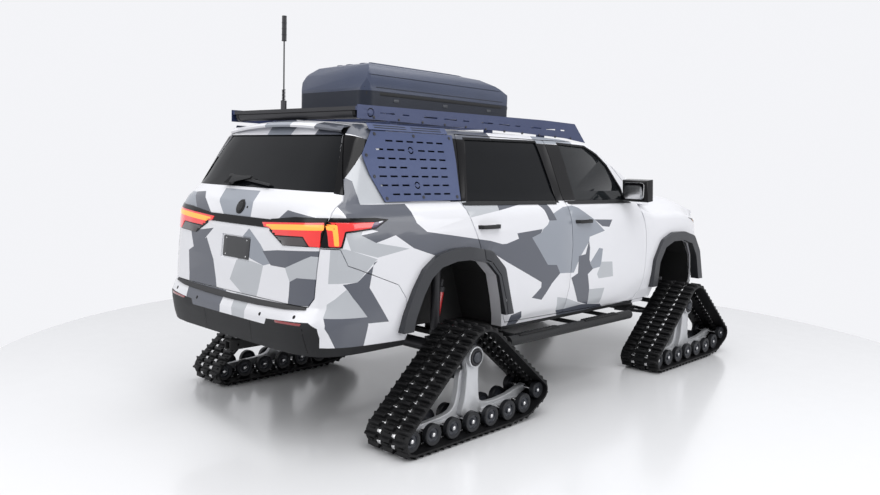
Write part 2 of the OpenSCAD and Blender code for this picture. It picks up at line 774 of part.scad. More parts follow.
module gate_trim() {
    color("black") {
        intersection() {
            tail_slab(gate_rows, -4, gate_lamp_t - 0.3);
            along(tail_x - 100, rear_start)
                intersection() {
                    gate_lamp_shape();
                    gate_shape(-shut_gap / 2);
                }
        }
        spoiler();
    }
}
spoiler_half = 634 * width_k;
spoiler_over = 62;
module spoiler() {
    qs = steps(1, -1, 10);
    slab([for (q = qs) [for (v = [0, 1, 2]) spoiler_top(q, v)]],
        [for (q = qs) [for (v = [0, 1, 2]) spoiler_low(q, v)]]);
}
spoiler_bow = 26;
// Rows over the top face and over the lower face, from the trailing lip to the hinge
function spoiler_top(q, v) =
    [v == 2 ? roof_rear(q) - hinge_gap :
        tail_at(gate_top_z) - [spoiler_over, spoiler_over - 22][v] + spoiler_bow * q * q,
        q * spoiler_half, roof_row(0, q, 0)[2] - [34, 16, 2][v]];
function spoiler_low(q, v) =
    [v == 2 ? roof_rear(q) - hinge_gap :
        tail_at(gate_top_z) - [spoiler_over - 3, 14][v] + (v == 0 ? spoiler_bow * q * q : 0),
        q * spoiler_half, v == 0 ? roof_row(0, q, 0)[2] - 48 : gate_top_z + seat_gap];

// ---- Flares ----
flare_out = 26;
front_flare_w = 85;
rear_flare_w = 88;
module flare_band(line, w) {
    difference() {
        across(half_w - 55, half_w + flare_out)
            difference() {
                offset(r = w)
                    polygon(line);
                polygon(line);
            }
        translate([-nose_x, 0, 0])
            cube([body_l, body_w, lo(130)]);
    }
}
module arch_flares() {
    color("dimgray")
        both_sides()
            difference() {
                union() {
                    flare_band(front_arch, front_flare_w);
                    flare_band(rear_arch, rear_flare_w);
                }
                side_fill(-0.8);
                across(0, 2 * half_w)
                    offset(delta = shut_gap / 2)
                        polygon(rear_door_line);
                across(0, 2 * half_w)
                    offset(delta = shut_gap)
                        polygon(front_door_line);
            }
}
// The body's filled volume out to its skin, moved out by -d
module side_fill(d) {
    xs = concat(steps(fender_front, front_start + 260, 6), steps(front_start, rear_start, 12),
        [rear_start - 200]);
    slab([for (x = xs) [for (z = fender_rows2) [x, fender_y(max(x, rear_start), z) - d, z]]],
        [for (x = xs) [for (z = fender_rows2) [x, 300, z]]]);
}
fender_rows2 = [lo(-150), lo(25), lo(115), lo(245), lo(300), lo(395), lo(595), lo(745)];

// ---- Mirrors ----
mirror_x = front_at(545);
module mirror_arm() {
    translate([front_at(710), side_y(front_at(765), belt_z + 28) + seat_gap, belt_z + 28])
        cube([100, 110, 26]);
    translate([front_at(650), half_w + 20, belt_z + 6])
        rotate([0, -6, 0])
            intersection() {
                linear_extrude(185)
                    offset(r = 35)
                        polygon([[0, 0], [45, 0], [70, 170], [0, 170]]);
                // Rounded head and foot of the housing, seen from the side
                translate([-60, 250, 0])
                    rotate([90, 0, 0])
                        linear_extrude(300)
                            offset(r = 30)
                                translate([55, 30])
                                    square([80, 125]);
            }
}
module mirror_left() { color("black") mirror_arm(); }
module mirror_right() { color("black") mirror([0, 1, 0]) mirror_arm(); }

// ---- Chassis ----
rail_line = [[tail_x + 150, 610], [tail_x + 650, 610], [rear_x - 380, 690], [rear_x + 210, 690],
    [rear_x + 420, 470], [front_x - 560, 470], [front_x - 330, 610], [nose_x - 280, 610]];
module rails() {
    both_sides()
        across(rail_y - rail_w / 2, rail_y + rail_w / 2)
            polygon(concat(rail_line,
                [for (i = [len(rail_line) - 1 : -1 : 0]) [rail_line[i][0], rail_line[i][1] + rail_h]]));
}
receiver_z = 575;
receiver_wall = 6;
module receiver() {
    out = receiver_in + 2 * receiver_wall;
    difference() {
        translate([tail_x + 12, -out / 2, receiver_z - out / 2])
            cube([270, out, out]);
        translate([tail_x, -receiver_in / 2, receiver_z - receiver_in / 2])
            cube([250, receiver_in, receiver_in]);
        translate([tail_x + 12 + 64, 0, receiver_z])
            rotate([90, 0, 0])
                cylinder(h = 2 * out, r = pin_hole_r, center = true, $fn = 48);
    }
}
// Tank inside the right rail, between two crossmembers
tank_w = 270;
module fuel_tank() {
    translate([rear_x + 500, rail_w / 2 - rail_y, 478])
        linear_extrude(118)
            offset(r = 45)
                offset(delta = -45)
                    polygon([[0, -20], [640, -20], [640, tank_w - 60], [560, tank_w], [0, tank_w]]);
}
module chassis() {
    color("black") {
        rails();
        difference() {
            both_sides()
                translate([tail_x, rail_y - 20, 650])
                    cube([160, 40, 60]);
            tail_slab([lo(20), lo(90), lo(180)], -100, 22 + seat_gap);
        }
        difference() {
            both_sides()
                translate([nose_x - 290, rail_y - 20, 650])
                    cube([280, 40, 60]);
            nose_slab([lo(0), lo(60), lo(180)], -200, 24 + seat_gap);
        }
        for (x = [rear_x + 470, -250, 480])
            translate([x - 30, -rail_y, 470])
                cube([60, 2 * rail_y, 35]);
        translate([tail_x + 240, -rail_y, 615])
            cube([60, 2 * rail_y, 90]);
        both_sides()
            translate([front_x - 160, rail_y - 20, 700])
                cube([320, 20 + rail_w / 2, 120]);
        receiver();
        translate([tail_x + 240, -60, 560])
            cube([60, 120, 80]);
        for (x = [rear_x + 520, 100, front_x - 700])
            both_sides()
                translate([x, rail_y, 600])
                    cylinder(h = lo(5) - 600, r = 35, $fn = 24);
        fuel_tank();
    }
}

// ---- Floor, firewall and wheel housings ----
floor_t = 26;
firewall_x = front_x - 586;
step_x = rear_x + 430;
rear_floor_z = 850;
floor_half = half_w - 150;
module arch_tub(line, y0, y1) {
    difference() {
        across(y0, y1)
            difference() {
                offset(delta = 26)
                    polygon(line);
                translate([0, lo(-400)])
                    square([8000, 2 * (lo(40) - lo(-400))], center = true);
            }
        across(y0 + 14, y1 + 10)
            offset(delta = 10)
                polygon(line);
    }
}
module floor_pan() {
    color("gray") {
        translate([step_x, -floor_half, lo(5)])
            cube([firewall_x - step_x, 2 * floor_half, floor_t]);
        translate([step_x, -550, lo(5)])
            cube([floor_t, 1100, rear_floor_z - lo(5)]);
        translate([tail_x + 140, -550, rear_floor_z - floor_t])
            cube([step_x + floor_t - tail_x - 140, 1100, floor_t]);
        translate([firewall_x, 60 - floor_half, lo(5)])
            cube([floor_t, 2 * floor_half - 120, lo(860) - lo(5)]);
        difference() {
            both_sides()
                across(590, 620)
                    polygon([[firewall_x + floor_t - 1, lo(760)], [firewall_x + floor_t - 1, lo(860)],
                        front_edge(1262, lo(930)), front_edge(1274, lo(1000)), front_edge(1310, lo(1000)),
                        front_edge(1310, lo(925))]);
            hood_slab(-80, panel_t + seat_gap);
        }
        both_sides()
            across(560, 574)
                polygon([[firewall_x, lo(60)], [front_x - 400, lo(60)], [front_x - 250, lo(500)],
                    [front_x - 250, lo(600)], [firewall_x, lo(600)]]);
        both_sides() {
            difference() {
                arch_tub(rear_arch, 540, floor_half + 50);
                side_slab([rear_x + 700, rear_x - 700], side_heights, -20, 0);
            }
            difference() {
                arch_tub(front_arch, 560, floor_half + 60);
                fender_shell(-60, panel_t + 3);
                translate([front_x - 210, 500, 0])
                    cube([420, 100, arm_high_z + 60]);
                translate([fender_low_front, 0, 0])
                    cube([400, body_w, lo(400)]);
            }
        }
    }
}

// ---- Axles, suspension, driveline, engine ----
axle_y = 800;
module rear_axle() {
    color("dimgray") {
        translate([rear_x, 0, hub_z])
            rotate([90, 0, 0])
                cylinder(h = 2 * axle_y, r = 45, center = true, $fn = 48);
        translate([rear_x, 0, hub_z])
            sphere(r = 150, $fn = 48);
        both_sides() {
            translate([rear_x, axle_y + 30, hub_z])
                rotate([90, 0, 0])
                    cylinder(h = 30, r = 105, $fn = 48);
            translate([rear_x + 60, 700, hub_z + 60])
                cylinder(h = 520, r = 34, $fn = 32);
            translate([rear_x, 660, hub_z - 20])
                cube([100, 80, 80]);
            translate([rear_x + 20, 620, hub_z - 60])
                cube([560, 40, 50]);
            translate([rear_x + 540, rail_y + rail_w / 2, hub_z - 60])
                cube([50, 165, 60]);
        }
    }
}
king_y = 820;
pin_r = 14;
pin_play = 0.3;
module arm(z, h, inner) {
    difference() {
        union() {
            translate([front_x, 0, z])
                linear_extrude(h)
                    polygon([[-150, inner], [150, inner], [30, king_y], [-30, king_y]]);
            translate([front_x, king_y, z])
                cylinder(h = h, r = 32, $fn = 32);
        }
        translate([front_x, king_y, z - 1])
            cylinder(h = h + 2, r = pin_r + pin_play, $fn = 32);
        translate([front_x, 640, z - 1])
            linear_extrude(h + 2)
                offset(r = 20)
                    polygon([[-70, -90], [70, -90], [20, 80], [-20, 80]]);
    }
}
arm_low_z = 400;
arm_high_z = 745;
arm_h = 28;
module front_suspension() {
    color("dimgray") {
        translate([front_x - 170, -rail_y, 420])
            cube([340, 2 * rail_y, 60]);
        translate([front_x - 130, -200, 480])
            cube([260, 400, 110]);
        both_sides() {
            arm(arm_low_z, arm_h, rail_y - 20);
            arm(arm_high_z, arm_h, rail_y + rail_w / 2 + seat_gap);
            translate([front_x - 150, rail_y - rail_w / 2, 470])
                cube([300, rail_w, 140 - seat_gap]);
            translate([front_x, 745, hub_z])
                rotate([90, 0, 0])
                    cylinder(h = 560, r = 22, $fn = 32);
        }
    }
}
module driveline() {
    color("silver") {
        translate([front_x - 480, 0, 530])
            rotate([0, -90, 0])
                cylinder(h = 560, r = 78, $fn = 32);
        translate([front_x - 1000, 0, 505 + seat_gap + 45])
            rotate([0, -90, 0])
                cylinder(h = 250, r = 45, $fn = 32);
        translate([front_x - 1200, 0, 505 + seat_gap + 45])
            rotate([0, -90, 0])
                cylinder(h = front_x - 1200 - rear_x - 156, r = 30, $fn = 32);
    }
}
module engine_block() {
    color("dimgray") {
        translate([front_x - 480, -330, 700])
            cube([800, 660, 560]);
        translate([front_x - 60, seat_gap + rail_w / 2 - rail_y, 700])
            cube([120, 2 * (rail_y - rail_w / 2 - seat_gap), 40]);
    }
}

// ---- Side steps ----
step_y = 1060;
step_z = 548;
step_r = 38;
module side_steps() {
    color("black")
        both_sides() {
            translate([rear_at(-990), step_y, step_z])
                rotate([0, 90, 0])
                    cylinder(h = front_at(700) - rear_at(-990), r = step_r, $fn = 32);
            for (x = [rear_at(-800), 0, front_at(500)])
                translate([x - 25, rail_y + rail_w / 2, step_z - 12])
                    cube([50, step_y - rail_y - rail_w / 2, 24]);
        }
}

// ---- Cabin ----
module seat(w) {
    rotate([90, 0, 0])
        linear_extrude(w, center = true)
            offset(r = 22)
                polygon([[-230, 120], [250, 150], [255, 210], [-120, 190], [-290, 750], [-300, 930],
                    [-370, 930], [-360, 760], [-270, 200]]);
    translate([-200, -w / 2 + 30, 0])
        cube([380, w - 60, 110]);
}
module seats() {
    color("darkslategray") {
        both_sides() {
            translate([front_at(150), 400, lo(5) + floor_t])
                seat(520);
            translate([front_at(-590), 380, lo(5) + floor_t])
                seat(560);
        }
        translate([rear_at(-1650), 0, rear_floor_z])
            seat(1040);
    }
}
module dashboard() {
    color("dimgray")
        translate([wheel_x, wheel_y, wheel_z])
            rotate([0, column_tilt - 90, 0])
                translate([0, 0, -250])
                    cylinder(h = 225 - seat_gap, r = 38, $fn = 32);
    color("dimgray")
        across(10 - floor_half, floor_half - 10)
            offset(r = 20)
                polygon([[firewall_x - 20.3, lo(480)], [firewall_x - 20.3, lo(850)], front_edge(900, lo(890)),
                    front_edge(720, lo(800)), front_edge(760, lo(560))]);
}
wheel_x = front_at(560);
wheel_y = 400;
wheel_z = lo(735);
column_tilt = 25;
module steering_wheel() {
    color("black")
        translate([wheel_x, wheel_y, wheel_z])
            rotate([0, column_tilt - 90, 0]) {
                rotate_extrude($fn = 48)
                    translate([185, 0])
                        circle(r = 15, $fn = 20);
                translate([0, 0, -25])
                    cylinder(h = 40, r = 60, $fn = 32);
                for (a = [0, 90, 180])
                    rotate([0, 0, a - 90])
                        translate([0, -18, -12])
                            cube([186, 36, 14]);
            }
}

// ---- Roof rack and box ----
rack_front_x = front_at(403);
rack_z = 2164;
tube_x = rack_front_x - rack_l + 53;
slat_w = 50;
slat_t = 25;
slat_z = rack_z - 34;
slat_pitch = (rack_l - 270) / 7;
function slat_x(i) = rack_front_x - rack_l + 8 + i * slat_pitch;
antenna_x = rack_front_x - rack_l + 32;
antenna_y = 105;
module rack_foot(x) {
    difference() {
        translate([x, min(roof_y(x), rack_y) - 45, roof_z - 20])
            cube([60, 40, slat_z + 10 - roof_z + 20]);
        roof_slab(-seat_gap, 3 * roof_t, 0);
    }
}
module rack_slots() {
    for (i = [0 : 10])
        translate([rack_front_x - rack_l + 190 + i * 200, 2118 - i])
            square([i % 3 == 1 ? 60 : 130, 9]);
    translate([rack_front_x - rack_l + 110, 2120])
        difference() {
            circle(r = 30, $fn = 24);
            circle(r = 21, $fn = 24);
            translate([-60, -5])
                square([70, 10]);
        }
}
module roof_rack() {
    color("midnightblue") {
        both_sides()
            across(rack_y, rack_y + rack_t)
                difference() {
                    polygon([[rack_front_x - rack_l, 2078], [rack_front_x - 900, 2066],
                        [rack_front_x - 300, 2050], [rack_front_x, 2023], [rack_front_x - 170, 2174],
                        [rack_front_x - 600, 2180], [rack_front_x - rack_l, rack_z]]);
                    rack_slots();
                }
        for (i = [0 : 7])
            translate([slat_x(i), -rack_y, slat_z])
                cube([slat_w, 2 * rack_y, slat_t]);
        translate([tube_x, -680, 2118])
            rotate([-90, 0, 0])
                cylinder(h = 1360, r = tube_r, $fn = 48);
        both_sides()
            translate([tube_x, 676, 2100])
                cube([40, rack_y - 676, 36]);
        for (i = [1, 4, 6])
            both_sides()
                rack_foot(slat_x(i) - 5);
        translate([antenna_x, antenna_y, 2155])
            cylinder(h = 60, r = 20, $fn = 24);
        translate([antenna_x, antenna_y, 2185])
            cylinder(h = 460, r = 5, $fn = 16);
        translate([antenna_x, antenna_y, 2620])
            cylinder(h = 170, r = 16, $fn = 24);
    }
}
box_x = front_at(-285);
box_y = -70;
box_z = 2200;
rim_h = 90;
rim_z = box_z + rim_h;
lid_h = box_h - rim_h;
base_z = box_z - 34;
foot_h = base_z - slat_z - slat_t;
module box_plan(shrink) {
    translate([box_x - box_l / 2, box_y])
        offset(r = 60 - shrink)
            offset(delta = -60)
                polygon([for (p = [[0.5, 0.4], [0.47, 0.5], [-0.46, 0.5], [-0.5, 0.42], [-0.5, -0.42],
                    [-0.46, -0.5], [0.47, -0.5], [0.5, -0.4]]) [p[0] * box_l, p[1] * box_w]]);
}
// The rearmost and the foremost slat under the box carry its feet
first_slat = ceil((box_x - box_l + 40 - slat_x(0)) / slat_pitch);
last_slat = floor((box_x - 120 - slat_x(0)) / slat_pitch);
module box_base() {
    color("black") {
        for (i = [first_slat, last_slat], y = [-300, 150])
            translate([slat_x(i) + 4, y, slat_z + slat_t + seat_gap])
                cube([slat_w - 8, 60, foot_h]);
        difference() {
            translate([0, 0, base_z])
                linear_extrude(rim_z - seat_gap - base_z)
                    box_plan(0);
            translate([0, 0, base_z + box_t])
                linear_extrude(rim_z)
                    box_plan(box_t);
        }
    }
}
// Lid: its plan, cut by a long low arch in side view and by a crown seen from the end
lid_side = [[0, -60], [0, 0.3], [-0.07, 0.56], [-0.18, 0.82], [-0.33, 0.96], [-0.5, 1], [-0.7, 1],
    [-0.85, 0.94], [-0.92, 0.82], [-0.96, 0.56], [-0.995, 0.08], [-1, -60]];
lid_end = [[0.5, -60], [0.5, 0.1], [0.48, 0.28], [0.44, 0.64], [0.36, 0.82], [0.2, 0.95], [0, 1]];
module lid_form(shrink, z0) {
    intersection() {
        translate([0, 0, z0])
            linear_extrude(lid_h)
                box_plan(shrink);
        across(box_y - box_w, box_y + box_w)
            translate([box_x, rim_z])
                offset(delta = -shrink)
                    polygon([for (p = lid_side) [p[0] * box_l, p[1] * lid_h]]);
        along(box_x - 1.1 * box_l, box_x + 100)
            translate([box_y, rim_z])
                offset(delta = -shrink)
                    for (side = [0, 1])
                        mirror([side, 0])
                            polygon([for (p = concat([[-0.01, -60]], lid_end, [[-0.01, 1]]))
                                [p[0] * box_w, p[1] * lid_h]]);
    }
}
module box_lid() {
    color("black")
        difference() {
            lid_form(0, rim_z);
            lid_form(box_t, rim_z - 1);
        }
}

// ---- Slotted panels over the quarter windows ----
module slotted_panels() {
    color("slategray")
        both_sides()
            side_plate();
}
plate_line = [tail_edge(-2080, hi(35)), rear_edge(-1390, hi(38)), rear_edge(-1345, hi(478)),
    tail_edge(-2080, hi(476)), tail_edge(-2200, hi(320)), tail_edge(-2165, hi(200))];
slot_l = 62;
slot_h = 11;
slot_pitch = 92;
slot_row = 56;
// Rows of slots, with a ring of four arcs left in the middle of the plate
module slot_field() {
    for (i = [0 : 6], j = [0 : 6])
        if ((i != 3 || j % 2 == 0) && (i > 0 || j > 0 && j < 6))
            translate([rear_at(-2095) + i * slot_pitch + j * 4, hi(75) + j * slot_row])
                square([slot_l, slot_h]);
    for (h = [hi(75) + slot_row * 1.1, hi(75) + slot_row * 5.1])
        translate([rear_at(-2095) + 3.4 * slot_pitch + 8, h])
            difference() {
                circle(r = 24, $fn = 20);
                circle(r = 15, $fn = 20);
                square([60, 8], center = true);
            }
}
module side_plate() {
    intersection() {
        side_slab(steps(rear_x + 100, rear_x - 1000, 2), [hi(20), hi(150), hi(300), hi(480)], -12.6, -8.6);
        across(0, 2 * half_w)
            difference() {
                polygon(plate_line);
                slot_field();
            }
    }
}

// ---- Track units ----
idler_x = 480;
idler_lift = 14;
tip_x = 635;
tip_z = 190;
tip_r = 60;
roller_z = lug_h + track_t + roller_r;
// Circles that the track runs round, forward of and above the hub's foot, in turning order
wheels = [[0, hub_z, sprocket_r], [-roller_back, roller_z, roller_r],
    [-roller_back + 5 * roller_pitch, roller_z, roller_r], [idler_x, roller_z + idler_lift, roller_r],
    [tip_x, tip_z, tip_r]];
// Angle of the outward normal of the run from one circle to the next
function run_angle(a, b) =
    let (d = [b[0] - a[0], b[1] - a[1]], l = norm(d))
    atan2(d[1], d[0]) - 90 + asin((a[2] - b[2]) / l);
function wrap(a) = a < 0 ? wrap(a + 360) : a >= 360 ? wrap(a - 360) : a;
function wheel_arc(i, grow) =
    let (n = len(wheels), w = wheels[i],
        a0 = run_angle(wheels[(i + n - 1) % n], w), a1 = run_angle(w, wheels[(i + 1) % n]),
        turn = wrap(a1 - a0), k = max(1, ceil(turn / 12)))
    [for (j = [0 : k]) let (a = a0 + turn * j / k, r = w[2] + grow) [w[0] + r * cos(a), w[1] + r * sin(a)]];
function track_path(grow) = [for (i = [0 : len(wheels) - 1]) each wheel_arc(i, grow)];
function path_sum(p, i = 0, total = 0) =
    i >= len(p) ? total : path_sum(p, i + 1, total + norm(p[(i + 1) % len(p)] - p[i]));
function path_at(p, s, i = 0) =
    let (a = p[i % len(p)], b = p[(i + 1) % len(p)], l = norm(b - a))
    s <= l ? [a + (b - a) * (l > 0 ? s / l : 0), atan2(b[1] - a[1], b[0] - a[0])] : path_at(p, s - l, i + 1);

module track() {
    inner = track_path(0);
    outer = track_path(track_t);
    length = path_sum(outer);
    translate([0, unit_y + track_w / 2, 0])
        rotate([90, 0, 0])
            linear_extrude(track_w)
                difference() {
                    union() {
                        polygon(outer);
                        for (i = [0 : lug_n - 1]) {
                            spot = path_at(outer, (i + 0.5) * length / lug_n);
                            translate(spot[0])
                                rotate(spot[1])
                                    polygon([[-lug_l / 2 - 4, 4], [3 - lug_l / 2, -lug_h],
                                        [lug_l / 2 - 3, -lug_h], [lug_l / 2 + 4, 4]]);
                        }
                    }
                    polygon(inner);
                }
}
roller_gap = 0.8;
roller_outer = 132;
roller_inner = -112;
collar_r = 75;
collar_w = 80;
sprocket_t = 60;
sprocket_teeth = 15;
// One tooth, as shares of the pitch and depths below the track
tooth = [[0, 28], [0.25, 28], [0.4, 12], [0.65, 12], [0.8, 28]];
roller_w = 42;
module roller(x, z, r, y) {
    translate([x, y + roller_w / 2, z])
        rotate([90, 0, 0])
            cylinder(h = roller_w, r = r - roller_gap, $fn = 40);
}
module unit(knuckle) {
    spots = concat([for (i = [0 : 5]) [-roller_back + i * roller_pitch, roller_z, roller_r]],
        [[idler_x, roller_z + idler_lift, roller_r], [tip_x, tip_z, tip_r]]);
    for (s = spots) {
        roller(s[0], s[1], s[2], unit_y + roller_outer);
        roller(s[0], s[1], s[2], unit_y + roller_inner);
        translate([s[0], unit_y + roller_outer, s[1]])
            rotate([90, 0, 0])
                cylinder(h = roller_outer - roller_inner, r = 14, $fn = 24);
    }
    // Cast beam swept up to the hub, and the post that carries the collar
    across(unit_y - 22, unit_y + 22)
        offset(r = 12)
            offset(delta = -12)
                polygon([[-roller_back - 30, 90], [-roller_back - 30, 125], [-250, 148], [-150, 185],
                    [-110, 250], [-95, 340], [95, 340], [110, 250], [150, 185], [250, 165],
                    [tip_x, tip_z + 20], [tip_x + 20, tip_z - 20], [idler_x, 95]]);
    across(unit_y + 15, unit_y + 75)
        polygon([[-90, 130], [90, 130], [66, 230], [55, 330], [52, hub_z], [-52, hub_z], [-55, 330],
            [-66, 230]]);
    translate([0, unit_y + 85, hub_z])
        rotate([90, 0, 0])
            cylinder(h = collar_w, r = collar_r, $fn = 48);
    // Toothed sprocket with lightening holes, and the hub shaft
    translate([0, unit_y - 40, hub_z])
        rotate([90, 0, 0])
            difference() {
                linear_extrude(sprocket_t)
                    polygon([for (k = [0 : sprocket_teeth - 1], t = tooth)
                        let (a = 360 * (k + t[0]) / sprocket_teeth, r = sprocket_r - t[1])
                        [r * cos(a), r * sin(a)]]);
                for (a = [0 : 72 : 288])
                    rotate([0, 0, a])
                        translate([110, 0, -1])
                            cylinder(h = sprocket_t + 2, r = 40, $fn = 32);
            }
    translate([0, unit_y + 115, hub_z])
        rotate([90, 0, 0])
            cylinder(h = unit_y + 115 - 862, r = hub_r, $fn = 32);
    if (knuckle) {
        translate([-55, king_y - 45, arm_low_z + arm_h + 6])
            cube([110, 87, arm_high_z - arm_low_z - arm_h - 12]);
        translate([0, king_y, arm_low_z + 2])
            cylinder(h = arm_high_z + arm_h - arm_low_z, r = pin_r, $fn = 32);
    } else
        translate([0, axle_y + 62, hub_z])
            rotate([90, 0, 0])
                cylinder(h = 32, r = 105, $fn = 48);
}
module at_front() { translate([front_x, 0, 0]) children(); }
module at_rear() { translate([rear_x, 0, 0]) children(); }
module track_front_left() { color("black") at_front() track(); }
module track_front_right() { color("black") mirror([0, 1, 0]) at_front() track(); }
module track_rear_left() { color("black") at_rear() track(); }
module track_rear_right() { color("black") mirror([0, 1, 0]) at_rear() track(); }
module unit_front_left() { color("silver") at_front() unit(true); }
module unit_front_right() { color("silver") mirror([0, 1, 0]) at_front() unit(true); }
module unit_rear_left() { color("silver") at_rear() unit(false); }
module unit_rear_right() { color("silver") mirror([0, 1, 0]) at_rear() unit(false); }

chassis();
rear_axle();
front_suspension();
driveline();
engine_block();
floor_pan();
body_sides();
roof();
front_fenders();
front_bumper();
grille();
headlamps();
windshield();
quarter_glass();
rear_bumper();
tail_lamps();
arch_flares();
side_steps();
dashboard();
seats();
slotted_panels();
roof_rack();
box_base();
hood();
liftgate();
gate_glass();
gate_trim();
box_lid();
steering_wheel();
door_front_left();
glass_front_left();
mirror_left();
door_front_right();
glass_front_right();
mirror_right();
door_rear_left();
glass_rear_left();
door_rear_right();
glass_rear_right();
track_front_left();
unit_front_left();
track_front_right();
unit_front_right();
track_rear_left();
unit_rear_left();
track_rear_right();
unit_rear_right();
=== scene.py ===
import json
import math
import bmesh
import bpy
from mathutils import Matrix, Vector
from mathutils.bvhtree import BVHTree


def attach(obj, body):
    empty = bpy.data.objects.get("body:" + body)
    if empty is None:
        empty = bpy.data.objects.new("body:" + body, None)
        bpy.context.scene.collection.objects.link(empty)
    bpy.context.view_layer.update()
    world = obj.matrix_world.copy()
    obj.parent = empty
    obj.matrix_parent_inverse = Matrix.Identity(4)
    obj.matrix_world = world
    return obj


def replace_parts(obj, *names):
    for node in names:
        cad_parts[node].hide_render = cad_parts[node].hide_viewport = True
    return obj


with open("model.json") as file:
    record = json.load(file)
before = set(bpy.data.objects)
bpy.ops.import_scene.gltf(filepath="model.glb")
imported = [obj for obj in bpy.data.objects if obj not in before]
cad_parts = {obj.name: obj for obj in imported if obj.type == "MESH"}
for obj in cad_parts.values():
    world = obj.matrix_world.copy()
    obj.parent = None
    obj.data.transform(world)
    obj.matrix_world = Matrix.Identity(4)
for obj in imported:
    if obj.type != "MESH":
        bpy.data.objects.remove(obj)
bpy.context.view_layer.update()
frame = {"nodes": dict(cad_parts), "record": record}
nodeBody = {node: body for body, nodes in frame["record"]["behaviour"]["bodies"].items() for node in nodes}
print("frame loaded,", len(nodeBody), "nodes")

# Camera and stage
view = {"place": (-5.401, -4.522, 1.812), "yaw": 43.34, "pitch": -6.08, "roll": 1.68, "lens": 32.26}
stageColours = {"floor": (0.78, 0.785, 0.8), "wall": (0.95, 0.955, 0.985)}


def makeCamera():
    data = bpy.data.cameras.new("camera")
    data.lens = view["lens"]
    data.sensor_width = 36
    data.clip_end = 200
    yaw, pitch = math.radians(view["yaw"]), math.radians(view["pitch"])
    ahead = Vector((math.cos(yaw) * math.cos(pitch), math.sin(yaw) * math.cos(pitch), math.sin(pitch)))
    right = ahead.cross(Vector((0, 0, 1))).normalized()
    up = right.cross(ahead)
    turn = Matrix.Rotation(-math.radians(view["roll"]), 3, ahead)
    right, up = turn @ right, turn @ up
    camera = bpy.data.objects.new("camera", data)
    axes = Matrix((right, up, -ahead)).transposed().to_4x4()
    camera.matrix_world = Matrix.Translation(view["place"]) @ axes
    bpy.context.collection.objects.link(camera)
    bpy.context.scene.camera = camera


# Node helpers
def startGroup(name, inputs, outputs):
    group = bpy.data.node_groups.new(name, "ShaderNodeTree")
    for label, kind, value in inputs:
        socket = group.interface.new_socket(label, in_out="INPUT", socket_type=kind)
        socket.default_value = value
    for label, kind in outputs:
        group.interface.new_socket(label, in_out="OUTPUT", socket_type=kind)
    return group, group.nodes.new("NodeGroupInput"), group.nodes.new("NodeGroupOutput")


def addMath(tree, operation, first, second=None):
    node = tree.nodes.new("ShaderNodeMath")
    node.operation = operation
    for socket, value in zip(node.inputs, (first, second)):
        if value is None:
            continue
        if isinstance(value, (int, float)):
            socket.default_value = value
        else:
            tree.links.new(value, socket)
    return node.outputs[0]


def blendColour(tree, factor, first, second):
    node = tree.nodes.new("ShaderNodeMix")
    node.data_type = "RGBA"
    for socket, value in ((node.inputs["Factor"], factor), (node.inputs["A"], first),
            (node.inputs["B"], second)):
        if isinstance(value, (int, float)):
            socket.default_value = value
        elif isinstance(value, tuple):
            socket.default_value = (*value, 1)
        else:
            tree.links.new(value, socket)
    return node.outputs["Result"]


def placeGroup(tree, group, **values):
    node = tree.nodes.new("ShaderNodeGroup")
    node.node_tree = group
    for label, value in values.items():
        node.inputs[label].default_value = value
    return node


# Fine grain: bump and a mottling mask at one scale
def makeGrain():
    inputs = [("Scale", "NodeSocketFloat", 200), ("Depth", "NodeSocketFloat", 0.2)]
    outputs = [("Normal", "NodeSocketVector"), ("Mask", "NodeSocketFloat")]
    group, start, end = startGroup("grain", inputs, outputs)
    coord = group.nodes.new("ShaderNodeTexCoord")
    fine = group.nodes.new("ShaderNodeTexNoise")
    coarse = group.nodes.new("ShaderNodeTexNoise")
    coarse.inputs["Scale"].default_value = 6
    coarse.inputs["Detail"].default_value = 4
    fine.inputs["Detail"].default_value = 3
    bump = group.nodes.new("ShaderNodeBump")
    bump.inputs["Distance"].default_value = 0.0015
    link = group.links.new
    for noise in (fine, coarse):
        link(coord.outputs["Object"], noise.inputs["Vector"])
    link(start.outputs["Scale"], fine.inputs["Scale"])
    link(fine.outputs["Fac"], bump.inputs["Height"])
    link(start.outputs["Depth"], bump.inputs["Strength"])
    link(bump.outputs[0], end.inputs["Normal"])
    link(coarse.outputs["Fac"], end.inputs["Mask"])
    return group


grain = makeGrain()


def startMaterial(name):
    material = bpy.data.materials.new(name)
    material.use_nodes = True
    tree = material.node_tree
    return material, tree, tree.nodes["Principled BSDF"]


# Roughness that varies by spread with the mottling, and the bump of the grain
def roughen(tree, shader, grains, low, spread):
    rough = addMath(tree, "MULTIPLY_ADD", grains.outputs["Mask"], spread)
    rough.node.inputs[2].default_value = low
    tree.links.new(rough, shader.inputs["Roughness"])
    tree.links.new(grains.outputs["Normal"], shader.inputs["Normal"])


# One Principled material with grain and a two-tone mottling
def makeFinish(name, colour, second=None, roughness=0.5, roughSpread=0.08, metallic=0.0, scale=200,
        depth=0.15, coat=0.0, **extra):
    material, tree, shader = startMaterial(name)
    grains = placeGroup(tree, grain, Scale=scale, Depth=depth)
    tone = blendColour(tree, grains.outputs["Mask"], colour, second or tuple(c * 0.8 for c in colour))
    tree.links.new(tone, shader.inputs["Base Color"])
    roughen(tree, shader, grains, roughness - roughSpread / 2, roughSpread)
    shader.inputs["Metallic"].default_value = metallic
    shader.inputs["Coat Weight"].default_value = coat
    shader.inputs["Coat Roughness"].default_value = 0.06
    for label, value in extra.items():
        shader.inputs[label.replace("_", " ")].default_value = value
    return material


